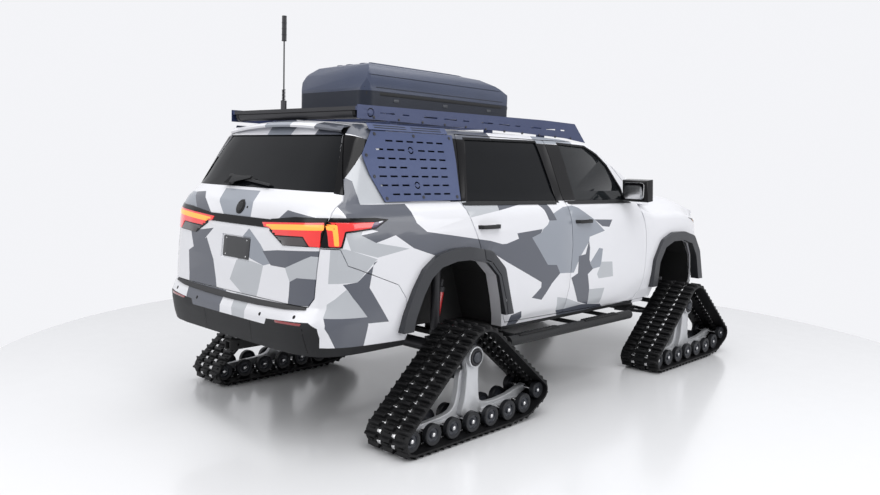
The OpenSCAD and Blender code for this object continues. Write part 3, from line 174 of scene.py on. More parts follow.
# Camouflage wrap: angular patches in four tones
tones = {"white": (0.78, 0.785, 0.82), "light": (0.47, 0.49, 0.52), "mid": (0.27, 0.295, 0.34),
    "dark": (0.085, 0.093, 0.118)}
topPatches = {
    "white": [(2.3, 0.5), (2.2, -0.6), (1.8, -0.8), (1.6, 0.1), (1.35, -0.7), (0.1, 0.5), (-0.4, -0.6),
        (-1.2, 0.1), (-2.1, -0.4), (-2.0, 0.6), (1.9, 0.75), (-0.9, -0.65), (0.2, -0.2)],
    "light": [(1.9, 0.2), (1.45, 0.6), (-0.1, 0.1), (-1.6, -0.5), (-1.0, 0.6)],
    "mid": [(2.1, -0.15), (1.5, -0.35), (-0.7, 0.3), (-1.8, 0.1)],
    "dark": [(2.0, 0.45), (1.75, -0.3), (-0.5, 0.55), (-1.5, 0.4), (-0.2, -0.4), (-2.2, 0.1)]}


def makeCamo(name, patches, plane):
    group, start, end = startGroup("camo" + name, [], [("Color", "NodeSocketColor")])
    coord = group.nodes.new("ShaderNodeTexCoord")
    split = group.nodes.new("ShaderNodeSeparateXYZ")
    flat = group.nodes.new("ShaderNodeCombineXYZ")
    group.links.new(coord.outputs["Object"], split.inputs[0])
    for axis, socket in zip(plane, flat.inputs):
        group.links.new(split.outputs[axis], socket)
    nearest = {}
    for tone, spots in patches.items():
        best = None
        for spot in spots:
            reach = group.nodes.new("ShaderNodeVectorMath")
            reach.operation = "DISTANCE"
            group.links.new(flat.outputs[0], reach.inputs[0])
            reach.inputs[1].default_value = (*spot, 0)
            best = reach.outputs["Value"] if best is None else addMath(group, "MINIMUM", best,
                reach.outputs["Value"])
        nearest[tone] = best
    colour, closest = tones["white"], nearest["white"]
    for tone in ("light", "mid", "dark"):
        nearer = addMath(group, "LESS_THAN", nearest[tone], closest)
        colour = blendColour(group, nearer, colour, tones[tone])
        closest = addMath(group, "MINIMUM", closest, nearest[tone])
    group.links.new(colour, end.inputs["Color"])
    return group


def makePaint(name, camo):
    material, tree, shader = startMaterial(name)
    pattern = placeGroup(tree, camo)
    grains = placeGroup(tree, grain, Scale=900, Depth=0.02)
    tree.links.new(pattern.outputs[0], shader.inputs["Base Color"])
    roughen(tree, shader, grains, 0.25, 0.02)
    shader.inputs["Coat Weight"].default_value = 0.35
    shader.inputs["Coat Roughness"].default_value = 0.05
    return material


finish = {
    "topWrap": makePaint("topWrap", makeCamo("Top", topPatches, "XY")),
    "trim": makeFinish("trim", (0.014, 0.0145, 0.016), roughness=0.5, scale=900, depth=0.35,
        Specular_IOR_Level=0.25),
    "flare": makeFinish("flare", (0.036, 0.038, 0.044), (0.03, 0.032, 0.037), roughness=0.36, scale=700,
        depth=0.15, Specular_IOR_Level=0.35),
    "gloss": makeFinish("gloss", (0.005, 0.005, 0.006), roughness=0.14, scale=500, depth=0.02,
        Specular_IOR_Level=0.18),
    "rubber": makeFinish("rubber", (0.003, 0.003, 0.0035), (0.008, 0.008, 0.009), roughness=0.5, scale=350,
        depth=0.5, Specular_IOR_Level=0.22),
    "tyre": makeFinish("tyre", (0.011, 0.012, 0.014), (0.02, 0.021, 0.025), roughness=0.45, scale=300,
        depth=0.25, Specular_IOR_Level=0.3),
    "disc": makeFinish("disc", (0.05, 0.054, 0.065), (0.035, 0.038, 0.046), roughness=0.4, metallic=0.3,
        scale=260, depth=0.15),
    "casting": makeFinish("casting", (0.62, 0.63, 0.65), (0.5, 0.51, 0.53), roughness=0.38, metallic=0.25,
        scale=180, depth=0.2),
    "steel": makeFinish("steel", (0.72, 0.72, 0.73), (0.5, 0.5, 0.5), roughness=0.22, metallic=1.0,
        scale=400, depth=0.1),
    "blackSteel": makeFinish("blackSteel", (0.03, 0.03, 0.034), roughness=0.4, metallic=0.4, scale=500,
        depth=0.25),
    # rack and slotted plates: dark slate coats whose strong blue is partly a painted reflection of a blue
    # light from the right
    "rackCoatBlueSheen": makeFinish("rackCoatBlueSheen", (0.034, 0.05, 0.125), (0.026, 0.038, 0.1), roughness=0.36,
        metallic=0.2, scale=900, depth=0.25),
    "plateCoatBlueSheen": makeFinish("plateCoatBlueSheen", (0.056, 0.078, 0.17), (0.046, 0.065, 0.145), roughness=0.4,
        metallic=0.25, scale=900, depth=0.25),
    # box lid: dark bluish grey, with more blue added as a painted sheen of a blue light from the right
    "boxCoatBlueSheen": makeFinish("boxCoatBlueSheen", (0.028, 0.038, 0.072), (0.04, 0.053, 0.098), roughness=0.3, scale=240,
        depth=0.6, Specular_IOR_Level=0.4),
    "boxDark": makeFinish("boxDark", (0.013, 0.017, 0.029), roughness=0.42, scale=500, depth=0.3,
        Specular_IOR_Level=0.25),
    "springRed": makeFinish("springRed", (0.62, 0.015, 0.02), (0.5, 0.01, 0.015), roughness=0.28,
        scale=300, depth=0.1, coat=0.4),
    "under": makeFinish("under", (0.005, 0.005, 0.0055), (0.009, 0.009, 0.009), roughness=0.75, scale=160,
        depth=0.5),
    "cloth": makeFinish("cloth", (0.03, 0.03, 0.033), (0.045, 0.045, 0.048), roughness=0.85, scale=1200,
        depth=0.6),
    "cabin": makeFinish("cabin", (0.025, 0.025, 0.027), (0.035, 0.035, 0.037), roughness=0.6, scale=700,
        depth=0.3),
    "redLens": makeFinish("redLens", (0.75, 0.008, 0.006), (0.5, 0.004, 0.004), roughness=0.1, scale=60,
        depth=0.05, coat=1.0, Emission_Color=(0.9, 0.01, 0.004, 1), Emission_Strength=0.35),
    "amberLens": makeFinish("amberLens", (1.0, 0.33, 0.06), (1.0, 0.25, 0.03), roughness=0.2, scale=60,
        depth=0.05, Emission_Color=(1.0, 0.27, 0.04, 1), Emission_Strength=1.0),
    "clearLens": makeFinish("clearLens", (0.8, 0.82, 0.85), (0.6, 0.62, 0.66), roughness=0.08, scale=60,
        depth=0.1, coat=1.0),
    "smokeLens": makeFinish("smokeLens", (0.03, 0.018, 0.02), roughness=0.12, scale=60, depth=0.05,
        coat=1.0),
    "tipLens": makeFinish("tipLens", (0.045, 0.045, 0.13), (0.1, 0.02, 0.06), roughness=0.12, scale=60,
        depth=0.05, coat=1.0),
    "reflector": makeFinish("reflector", (0.3, 0.01, 0.014), roughness=0.15, scale=300, depth=0.3,
        coat=1.0),
    "treadPad": makeFinish("treadPad", (0.014, 0.014, 0.016), roughness=0.55, scale=260, depth=0.9),
    "plateBlank": makeFinish("plateBlank", (0.022, 0.023, 0.026), (0.03, 0.031, 0.034), roughness=0.35,
        scale=500, depth=0.1),
    "markerLens": makeFinish("markerLens", (0.95, 0.45, 0.08), (0.9, 0.35, 0.05), roughness=0.15, scale=60,
        depth=0.1, coat=1.0),
}


def makeGlass(name, colour, clear):
    material, tree, shader = startMaterial(name)
    grains = placeGroup(tree, grain, Scale=3, Depth=0.01)
    tone = blendColour(tree, grains.outputs["Mask"], colour, tuple(c * 0.7 for c in colour))
    tree.links.new(tone, shader.inputs["Base Color"])
    shader.inputs["Roughness"].default_value = 0.03
    shader.inputs["Transmission Weight"].default_value = clear
    shader.inputs["Specular IOR Level"].default_value = 0.14
    shader.inputs["IOR"].default_value = 1.4
    return material


finish["darkGlass"] = makeGlass("darkGlass", (0.008, 0.009, 0.011), 0.1)
finish["frontGlass"] = makeGlass("frontGlass", (0.03, 0.034, 0.038), 0.5)
finish["screenGlass"] = makeGlass("screenGlass", (0.35, 0.38, 0.38), 0.75)


# Objects
def placeMesh(name, bm, looks, crease):
    mesh = bpy.data.meshes.new(name)
    bm.to_mesh(mesh)
    bm.free()
    for poly in mesh.polygons:
        poly.use_smooth = True
    mesh.set_sharp_from_angle(angle=math.radians(crease))
    for look in looks:
        mesh.materials.append(finish[look])
    piece = bpy.data.objects.new(name, mesh)
    bpy.context.collection.objects.link(piece)
    return piece


def makePiece(name, bm, look, body, crease=32, bevel=0.0, segments=2):
    bmesh.ops.remove_doubles(bm, verts=bm.verts, dist=0.00002)
    bmesh.ops.recalc_face_normals(bm, faces=bm.faces)
    piece = placeMesh(name, bm, [look], crease)
    if bevel:
        softenEdges(piece, bevel, segments)
    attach(piece, body)
    return piece


def softenEdges(piece, width, segments=2, angle=38):
    edge = piece.modifiers.new("edge", "BEVEL")
    edge.width = width
    edge.segments = segments
    edge.limit_method = "ANGLE"
    edge.angle_limit = math.radians(angle)
    edge.harden_normals = False


def frameOf(points):
    return (min(p[0] for p in points), max(p[0] for p in points), min(p[1] for p in points),
        max(p[1] for p in points))


def meets(one, other):
    return one[0] <= other[1] and other[0] <= one[1] and one[2] <= other[3] and other[2] <= one[3]


# Cuts a panel along an outline and gives the faces inside it another finish
def paintZone(bm, zone, index):
    first, second = ("XYZ".index(c) for c in zone["plane"])
    third = 3 - first - second
    aim, outline, test = zone.get("aim", 0), zone["outline"], zone.get("test")
    pool = {}
    for face in bm.faces:
        box = frameOf([(v.co[first], v.co[second]) for v in face.verts])
        if meets(box, frameOf(outline)) and (not aim or face.calc_center_median()[third] * aim > 0):
            pool[face] = box
    for start, end in zip(outline, outline[1:] + outline[:1]):
        edgeBox = frameOf([start, end])
        near = [face for face, box in pool.items() if meets(box, edgeBox)]
        if not near:
            continue
        for face in near:
            del pool[face]
        geom = list({v for f in near for v in f.verts}) + list({e for f in near for e in f.edges}) + near
        place, across = Vector((0, 0, 0)), Vector((0, 0, 0))
        place[first], place[second] = start
        across[first], across[second] = end[1] - start[1], start[0] - end[0]
        made = bmesh.ops.bisect_plane(bm, geom=geom, dist=0.00001, plane_co=place, plane_no=across)["geom"]
        for face in made:
            if isinstance(face, bmesh.types.BMFace):
                pool[face] = frameOf([(v.co[first], v.co[second]) for v in face.verts])
    for face in pool:
        middle = face.calc_center_median()
        if isInside(outline, middle[first], middle[second]) and (not test or test(middle, face.normal)):
            face.material_index = index


def isInside(outline, a, b):
    inside = False
    for (a0, b0), (a1, b1) in zip(outline, outline[1:] + outline[:1]):
        if (b0 > b) != (b1 > b) and a < (a1 - a0) * (b - b0) / (b1 - b0) + a0:
            inside = not inside
    return inside


# A CAD panel as one smooth-shaded piece with rounded edges, painted in zones
def dressPanel(node, look, zones=(), crease=30, bevel=0.002, merge=True):
    bm = bmesh.new()
    bm.from_mesh(frame["nodes"][node].data)
    bmesh.ops.remove_doubles(bm, verts=bm.verts, dist=0.00003)
    if merge:
        bmesh.ops.dissolve_limit(bm, angle_limit=math.radians(0.3), verts=bm.verts, edges=bm.edges)
        bmesh.ops.triangulate(bm, faces=[f for f in bm.faces if len(f.verts) > 4])
    looks = [look]
    for zone in zones:
        if zone["look"] not in looks:
            looks.append(zone["look"])
        paintZone(bm, zone, looks.index(zone["look"]))
    piece = placeMesh(node + "Panel", bm, looks, crease)
    if bevel:
        softenEdges(piece, bevel)
    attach(piece, nodeBody[node])
    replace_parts(piece, node)


# A CAD node that stays as it is and takes a finish
def coatNode(node, look):
    part = frame["nodes"][node]
    part.data.materials.clear()
    part.data.materials.append(finish[look])


# Shapes
# outline in the two axes of plane, filled at start and drawn to end along the third
def addSlab(bm, outline, plane, start, end):
    third = {"XZ": 1, "YZ": 0, "XY": 2}[plane]
    first, second = ("XYZ".index(c) for c in plane)
    verts = []
    for a, b in outline:
        spot = [0, 0, 0]
        spot[first], spot[second], spot[third] = a, b, start
        verts.append(bm.verts.new(spot))
    face = bm.faces.new(verts)
    grown = bmesh.ops.extrude_face_region(bm, geom=[face])["geom"]
    shift = Vector((0, 0, 0))
    shift[third] = end - start
    moved = [v for v in grown if isinstance(v, bmesh.types.BMVert)]
    bmesh.ops.translate(bm, verts=moved, vec=shift)
    return verts + moved


def roundEdges(bm, verts, width, segments=2, angle=25):
    found = set(verts)
    edges = [e for e in bm.edges if e.verts[0] in found and e.verts[1] in found and len(e.link_faces) == 2
        and e.calc_face_angle(0) > math.radians(angle)]
    bmesh.ops.bevel(bm, geom=edges, offset=width, segments=segments, profile=0.5, affect="EDGES",
        material=-1, clamp_overlap=True)


# profile of (radius, along) turned a full round about axis through centre
def addLathe(bm, profile, centre, axis, steps=40):
    direction = Vector(axis).normalized()
    side = direction.orthogonal().normalized()
    verts = [bm.verts.new(Vector(centre) + side * r + direction * t) for r, t in profile]
    edges = [bm.edges.new(pair) for pair in zip(verts, verts[1:])]
    before = set(bm.verts)
    bmesh.ops.spin(bm, geom=verts + edges, cent=centre, axis=direction, angle=math.tau, steps=steps,
        use_merge=True)
    return verts + [v for v in bm.verts if v not in before]


def addTube(bm, path, radius, sides=16):
    points = [Vector(p) for p in path]
    rings = []
    for i, point in enumerate(points):
        ahead = (points[min(i + 1, len(points) - 1)] - points[max(i - 1, 0)]).normalized()
        turn = ahead.to_track_quat("Z", "Y").to_matrix().to_4x4()
        made = bmesh.ops.create_circle(bm, cap_ends=i in (0, len(points) - 1), radius=radius,
            segments=sides, matrix=Matrix.Translation(point) @ turn)
        ring = set(made["verts"])
        rings.append([e for e in bm.edges if e.verts[0] in ring and e.verts[1] in ring])
    for one, other in zip(rings, rings[1:]):
        bmesh.ops.bridge_loops(bm, edges=one + other)


def addBlock(bm, low, high, bevel=0.0, segments=2):
    made = bmesh.ops.create_cube(bm, size=1)["verts"]
    size, middle = Vector(high) - Vector(low), (Vector(high) + Vector(low)) / 2
    bmesh.ops.scale(bm, vec=size, verts=made)
    bmesh.ops.translate(bm, vec=middle, verts=made)
    if bevel:
        roundEdges(bm, made, bevel, segments)
    return made


def copyAlong(bm, source, matrices):
    mesh = bpy.data.meshes.new("scratch")
    source.to_mesh(mesh)
    source.free()
    for matrix in matrices:
        before = len(bm.verts)
        bm.from_mesh(mesh)
        bm.verts.ensure_lookup_table()
        bmesh.ops.transform(bm, matrix=matrix, verts=bm.verts[before:])
    bpy.data.meshes.remove(mesh)


# a smooth closed line through points
def curve(points, steps=6):
    spots, count = [], len(points)
    for i in range(count):
        p0, p1, p2, p3 = (Vector(points[(i + k) % count]) for k in (-1, 0, 1, 2))
        for s in range(steps):
            t = s / steps
            spots.append(0.5 * ((2 * p1) + (p2 - p0) * t + (2 * p0 - 5 * p1 + 4 * p2 - p3) * t * t
                + (3 * p1 - p0 - 3 * p2 + p3) * t ** 3))
    return [tuple(p) for p in spots]


# Track units
hub = {"front": 1.6565, "rear": -1.4425, "y": 1.06}
wheels = {"sprocket": (0, 0.525, 0.19), "tail": (-0.645, 0.108, 0.072), "last": (0.3035, 0.108, 0.072),
    "idler": (0.48, 0.122, 0.072), "tip": (0.635, 0.19, 0.06)}
belt = {"half": 0.188, "thick": 0.012, "lug": 0.0235, "count": 54, "lugLong": 0.024,
    "sight": 0.012}
clips = {"inner": -0.062, "outer": 0.068, "wide": 0.026}


# The line the belt's inner face runs on, as a place at each distance
def loopPath():
    spots = []
    for x, z, r in wheels.values():
        spots += [(x + r * math.cos(math.radians(a)), z + r * math.sin(math.radians(a)))
            for a in range(0, 360, 4)]
    spots = sorted(set(spots))

    def half(line):
        kept = []
        for p in line:
            while len(kept) > 1 and ((kept[-1][0] - kept[-2][0]) * (p[1] - kept[-2][1])
                    - (kept[-1][1] - kept[-2][1]) * (p[0] - kept[-2][0])) <= 0:
                kept.pop()
            kept.append(p)
        return kept[:-1]

    ring = half(spots) + half(spots[::-1])
    lengths = [math.dist(ring[i], ring[(i + 1) % len(ring)]) for i in range(len(ring))]
    total = sum(lengths)

    def spotAt(distance):
        distance %= total
        for i, length in enumerate(lengths):
            if distance <= length:
                a, b = Vector(ring[i]), Vector(ring[(i + 1) % len(ring)])
                return a.lerp(b, distance / length)
            distance -= length
        return Vector(ring[0])

    return spotAt, total


spotAt, loopLength = loopPath()


def linkMatrix(distance, side, hubX):
    spot = spotAt(distance)
    along = (spotAt(distance + belt["sight"]) - spotAt(distance - belt["sight"])).normalized()
    out = Vector((along.y, -along.x))
    return Matrix(((along.x, 0, out.x, hubX + spot.x), (0, side, 0, side * hub["y"]),
        (along.y, 0, out.y, spot.y), (0, 0, 0, 1)))


def makeTracks(side, hubX, body, trackNode, unitNode):
    pitch = loopLength / belt["count"]
    tag = unitNode.replace("unit_", "")

    def fit(name, bm, look):
        return makePiece(f"{name}.{tag}", bm, look, body)

    # belt with a raised rib along each edge
    bm = bmesh.new()
    rings = []
    half, thick = belt["half"], belt["thick"]
    section = [(-half, 0), (-half, thick), (-half + 0.012, thick + 0.003), (-half + 0.03, thick),
        (half - 0.03, thick), (half - 0.012, thick + 0.003), (half, thick), (half, 0)]
    count = belt["count"] * 4
    for i in range(count):
        matrix = linkMatrix(i * loopLength / count, side, hubX)
        rings.append([bm.verts.new(matrix @ Vector((0, y, z))) for y, z in section])
    for i in range(count):
        one, other = rings[i], rings[(i + 1) % count]
        for k in range(len(section)):
            n = (k + 1) % len(section)
            bm.faces.new((one[k], one[n], other[n], other[k]))
    # lugs: three blocks across, the end ones drawn out to blades
    link = bmesh.new()
    long, top = belt["lugLong"] / 2, thick + belt["lug"]
    spans = ((-half, clips["inner"] - 0.016), (clips["inner"] + 0.016, clips["outer"] - 0.016),
        (clips["outer"] + 0.016, half))
    for low, high in spans:
        verts = addSlab(link, [(-long * 1.35, thick - 0.003), (long * 1.35, thick - 0.003),
            (long * 0.8, top), (-long * 0.8, top)], "XZ", low, high)
        for v in verts:
            if abs(abs(v.co.y) - half) < 0.001 and v.co.z > thick:
                v.co.y *= 0.94
                v.co.x *= 0.45
        roundEdges(link, verts, 0.0025, 2)
    # shallow bars between the lugs, and the drive lugs inside
    for y in (-0.135, 0.004, 0.13):
        addBlock(link, (pitch * 0.5 - 0.006, y - 0.022, thick - 0.003), (pitch * 0.5 + 0.006, y + 0.022,
            thick + 0.007), 0.0015, 1)
    for y in (-0.07, 0.062):
        verts = addSlab(link, [(-0.016, 0.001), (0.016, 0.001), (0.006, -0.034), (-0.006, -0.034)], "XZ",
            y - 0.016, y + 0.016)
        roundEdges(link, verts, 0.003, 2)
    copyAlong(bm, link, [linkMatrix(i * pitch, side, hubX) for i in range(belt["count"])])
    track = makePiece("belt." + tag, bm, "rubber", body, crease=35)
    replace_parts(track, trackNode)
    # steel clips
    link = bmesh.new()
    for y, wide in ((clips["inner"], clips["wide"] * 1.25), (clips["outer"], clips["wide"])):
        verts = addSlab(link, [(-0.017, thick - 0.004), (-0.015, thick + 0.004), (-0.008, thick + 0.0085),
            (0.008, thick + 0.0085), (0.015, thick + 0.004), (0.017, thick - 0.004)], "XZ", y - wide / 2,
            y + wide / 2)
        roundEdges(link, verts, 0.0015, 2)
        addBlock(link, (-0.012, y - 0.009, -0.006), (0.012, y + 0.009, thick), 0.002, 1)
    bm = bmesh.new()
    copyAlong(bm, link, [linkMatrix(i * pitch + pitch * 0.5, side, hubX) for i in range(belt["count"])])
    fit("clips", bm, "steel")

    def at(x, out, z):
        return (hubX + x, side * (hub["y"] + out), z)

    # rollers: tyre, disc and centre bolt, outer and inner rows
    axis = (0, side, 0)
    tyres, discs, bolts = bmesh.new(), bmesh.new(), bmesh.new()
    rollers = [(-0.645 + k * 0.1897, 0.108, 0.0712) for k in range(6)] + [(0.48, 0.122, 0.0712)]
    for row, reach in ((0.132, 0.021), (-0.112, 0.021)):
        facing = 1 if row > 0 else -1
        for x, z, r in rollers + [(0.635, 0.19, 0.0592)]:
            centre = at(x, row, z)
            addLathe(tyres, [(r * 0.66, -reach * 0.8), (r * 0.94, -reach), (r, -reach * 0.75),
                (r, reach * 0.75), (r * 0.94, reach), (r * 0.66, reach * 0.8)], centre, axis, 36)
            addLathe(discs, [(r * 0.2, -reach * facing * 0.7), (r * 0.69, -reach * facing * 0.7),
                (r * 0.69, reach * facing * 0.72), (r * 0.62, reach * facing * 0.78),
                (r * 0.56, reach * facing * 0.4), (r * 0.36, reach * facing * 0.34),
                (r * 0.3, reach * facing * 0.95), (r * 0.2, reach * facing)], centre, axis, 32)
            addLathe(bolts, [(0.0, reach * facing * 1.18), (r * 0.12, reach * facing * 1.16),
                (r * 0.19, reach * facing * 1.02), (r * 0.21, reach * facing * 0.8),
                (r * 0.21, -reach * facing)], centre, axis, 20)
            addTube(bolts, [at(x, row, z), at(x, 0, z)], 0.0135, 12)
    fit("rollerTyres", tyres, "tyre")
    fit("rollerDiscs", discs, "disc")
    fit("rollerBolts", bolts, "steel")

    # cast frame: a beam swept up into the post, with the hub collar on it
    bm = bmesh.new()
    beam = curve([(-0.675, 0.092), (-0.68, 0.12), (-0.5, 0.138), (-0.22, 0.155), (-0.135, 0.2),
        (-0.105, 0.3), (-0.075, 0.43), (0.075, 0.43), (0.1, 0.3), (0.125, 0.2), (0.22, 0.16),
        (0.42, 0.168), (0.62, 0.212), (0.66, 0.19), (0.645, 0.165), (0.5, 0.115), (0.35, 0.1),
        (0.0, 0.092), (-0.4, 0.088)], 6)
    post = curve([(-0.1, 0.135), (-0.075, 0.25), (-0.06, 0.42), (-0.07, 0.55), (0.07, 0.55), (0.06, 0.42),
        (0.072, 0.25), (0.1, 0.135), (0.0, 0.12)], 6)
    ribs = curve([(-0.6, 0.1), (-0.5, 0.118), (-0.18, 0.128), (0.18, 0.13), (0.5, 0.142), (0.56, 0.135),
        (0.3, 0.104), (-0.3, 0.1)], 4)
    for line, near, far, width, segments in ((beam, -0.02, 0.022, 0.008, 3), (post, 0.018, 0.066, 0.009, 3),
            (ribs, 0.02, 0.034, 0.005, 2)):
        verts = addSlab(bm, [(hubX + x, z) for x, z in line], "XZ", side * (hub["y"] + near),
            side * (hub["y"] + far))
        roundEdges(bm, verts, width, segments, 50)
    fit("casting", bm, "casting")

    # hub: white collar, black ring and grey cone, and the toothed sprocket behind
    bm = bmesh.new()
    addLathe(bm, [(0.03, -0.005), (0.07, -0.005), (0.0745, 0.002), (0.0745, 0.075), (0.071, 0.083),
        (0.064, 0.085), (0.06, 0.08), (0.058, 0.05)], at(0, 0.01, 0.525), axis, 56)
    fit("collar", bm, "casting")
    bm = bmesh.new()
    addLathe(bm, [(0.0585, 0.03), (0.0585, 0.086), (0.054, 0.091), (0.046, 0.091), (0.042, 0.086),
        (0.04, 0.05)], at(0, 0.01, 0.525), axis, 56)
    fit("hubRing", bm, "blackSteel")
    bm = bmesh.new()
    addLathe(bm, [(0.041, 0.02), (0.041, 0.088), (0.036, 0.097), (0.022, 0.103), (0.012, 0.104),
        (0.0, 0.104)], at(0, 0.01, 0.525), axis, 48)
    fit("hubCap", bm, "disc")
    bm = bmesh.new()
    teeth, gear = 23, []
    for k in range(teeth):
        for share, r in ((0.0, 0.163), (0.22, 0.163), (0.36, 0.177), (0.64, 0.177), (0.78, 0.163)):
            a = math.tau * (k + share) / teeth
            gear.append((r * math.cos(a), r * math.sin(a)))
    outer = [bm.verts.new(at(x, -0.096, 0.525 + z)) for x, z in gear]
    rim = [bm.edges.new((outer[i], outer[(i + 1) % len(outer)])) for i in range(len(outer))]
    made = bmesh.ops.create_circle(bm, cap_ends=False, radius=0.138, segments=60,
        matrix=Matrix.Translation(at(0, -0.096, 0.525)) @ Matrix.Rotation(math.pi / 2, 4, "X"))["verts"]
    found = set(made)
    inner = [e for e in bm.edges if e.verts[0] in found and e.verts[1] in found]
    bmesh.ops.triangle_fill(bm, use_beauty=True, edges=rim + inner)
    faces = list(bm.faces)
    grown = bmesh.ops.extrude_face_region(bm, geom=faces)["geom"]
    bmesh.ops.translate(bm, verts=[v for v in grown if isinstance(v, bmesh.types.BMVert)],
        vec=(0, side * 0.052, 0))
    for k in range(5):
        a = math.tau * (k + 0.25) / 5
        spoke = [(0.05, -0.022), (0.142, -0.034), (0.142, 0.034), (0.05, 0.022)]
        turned = [(hubX + x * math.cos(a) - z * math.sin(a), 0.525 + x * math.sin(a) + z * math.cos(a))
            for x, z in spoke]
        verts = addSlab(bm, turned, "XZ", side * (hub["y"] - 0.09), side * (hub["y"] - 0.05))
        roundEdges(bm, verts, 0.006, 2)
    addLathe(bm, [(0.03, -0.098), (0.066, -0.098), (0.07, -0.092), (0.07, -0.045), (0.062, -0.038),
        (0.032, -0.036), (0.032, 0.0)], at(0, 0, 0.525), axis, 40)
    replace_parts(fit("sprocket", bm, "disc"), unitNode)


for end, sideName, side, body in (("front", "left", 1, "steer_left"), ("front", "right", -1, "steer_right"),
        ("rear", "left", 1, "body"), ("rear", "right", -1, "body")):
    makeTracks(side, hub[end], body, f"track_{end}_{sideName}", f"unit_{end}_{sideName}")
print("tracks made")

# Wrap in one tone: a satin film with a faint sheen
for tone, colour in tones.items():
    finish["wrap" + tone.capitalize()] = makeFinish("wrap" + tone.capitalize(), colour,
        tuple(c * 0.97 for c in colour), roughness=0.26, roughSpread=0.02, scale=900, depth=0.02, coat=0.35)

# Carried-over parts
for node, look in (("chassis", "under"), ("rear_axle", "blackSteel"), ("front_suspension", "blackSteel"),
        ("driveline", "blackSteel"), ("engine_block", "disc"), ("floor_pan", "under")):
    coatNode(node, look)

# Camouflage patches seen from the side (x, z) and from behind (y, z)
sidePatches = [
    ("dark", [(-1.13, 1.28), (-1.0, 1.25), (-0.95, 1.25), (-0.81, 1.28), (-0.83, 1.32), (-0.52, 1.34),
        (-0.54, 1.31), (-0.65, 1.28), (-0.44, 1.06), (-0.32, 1.05), (-0.27, 0.98), (-0.37, 0.91),
        (-0.4, 0.88), (-0.49, 0.79), (-0.62, 0.82), (-0.51, 0.89), (-0.51, 0.93), (-0.95, 1.12),
        (-1.1, 1.19), (-1.2, 1.2)]),
    ("mid", [(-0.43, 1.4), (-0.33, 1.4), (-0.38, 1.45), (-0.23, 1.5), (-0.1, 1.51), (-0.02, 1.49),
        (0.2, 1.39), (0.36, 1.29), (0.13, 1.25), (0.12, 1.21), (0.01, 1.1), (-0.08, 0.97), (-0.27, 0.98),
        (-0.32, 1.05), (-0.44, 1.06), (-0.65, 1.28), (-0.54, 1.31), (-0.51, 1.34), (-0.45, 1.37)]),
    ("dark", [(-0.57, 1.55), (-0.42, 1.55), (-0.42, 1.52), (-0.33, 1.4), (-0.43, 1.4), (-0.48, 1.48)]),
    ("dark", [(0.2, 1.39), (0.48, 1.38), (0.43, 1.32), (0.32, 1.33)]),
    ("dark", [(0.12, 1.22), (0.14, 1.16), (0.14, 1.06), (0.2, 0.98), (0.13, 0.94), (0.17, 0.81),
        (0.18, 0.68), (0.02, 0.72), (-0.05, 0.83), (-0.11, 0.93), (-0.02, 0.96), (-0.02, 1.1),
        (0.08, 1.11)]),
    ("mid", [(0.28, 1.15), (0.34, 1.14), (0.32, 0.99), (0.2, 0.98), (0.15, 1.03)]),
    ("light", [(0.33, 1.03), (0.5, 1.02), (0.53, 0.89), (0.3, 0.89), (0.27, 0.93)]),
    ("light", [(0.17, 0.81), (0.41, 0.8), (0.37, 0.67), (0.18, 0.68)]),
    ("light", [(-0.28, 0.79), (-0.16, 0.77), (0.1, 0.69), (-0.15, 0.68), (-0.27, 0.68)]),
    ("dark", [(-0.27, 0.68), (-0.15, 0.68), (0.1, 0.69), (0.39, 0.66), (0.45, 0.62), (-0.23, 0.62)]),
    ("dark", [(-0.73, 0.73), (-0.71, 0.68), (-0.76, 0.63), (-0.87, 0.63), (-0.85, 0.71)]),
    ("light", [(-1.42, 1.58), (-1.01, 1.58), (-1.01, 1.53), (-1.02, 1.49), (-1.33, 1.45)]),
    ("dark", [(-1.01, 1.58), (-0.74, 1.58), (-0.74, 1.53), (-1.02, 1.49)]),
    ("dark", [(-1.4, 2.1), (-0.92, 2.1), (-0.92, 1.96), (-1.4, 1.96)]),
    ("dark", [(-2.42, 1.56), (-2.37, 1.63), (-2.31, 1.71), (-2.28, 1.69), (-2.27, 1.55), (-1.91, 1.55),
        (-1.85, 1.43), (-2.39, 1.47)]),
    ("light", [(-2.31, 1.71), (-2.16, 1.87), (-2.07, 1.83), (-1.85, 1.83), (-1.85, 1.56), (-2.27, 1.55),
        (-2.28, 1.69)]),
    ("dark", [(-2.3, 1.42), (-2.2, 1.46), (-1.85, 1.43), (-1.76, 1.37), (-1.13, 1.28), (-1.13, 1.15),
        (-1.65, 1.2), (-1.88, 1.27), (-2.04, 1.36), (-2.2, 1.32), (-2.31, 1.37), (-2.18, 1.39)]),
    ("light", [(-2.42, 1.41), (-2.29, 1.41), (-2.31, 1.37), (-2.2, 1.32), (-1.92, 1.27), (-2.19, 1.23),
        (-2.38, 1.28)]),
    ("light", [(-2.6, 1.29), (-2.41, 1.29), (-2.19, 1.22), (-2.22, 1.2), (-2.34, 1.09), (-2.6, 1.08)]),
    ("dark", [(-2.19, 1.21), (-2.22, 1.2), (-2.25, 1.05), (-2.08, 0.82), (-2.26, 0.83), (-2.37, 1.0),
        (-2.43, 1.08), (-2.34, 1.09)]),
    ("light", [(-2.41, 1.05), (-2.37, 1.0), (-2.26, 0.87), (-2.53, 0.88), (-2.54, 0.93)]),
    ("dark", [(-2.53, 0.88), (-2.26, 0.87), (-2.25, 0.82), (-2.27, 0.67), (-2.46, 0.69), (-2.53, 0.82)]),
    ("dark", [(-2.36, 2.06), (-1.85, 2.06), (-2.1, 1.93), (-2.19, 1.98)]),
    ("mid", [(-0.39, 2.1), (0.12, 2.1), (0.12, 2.0), (-0.39, 1.99)])]
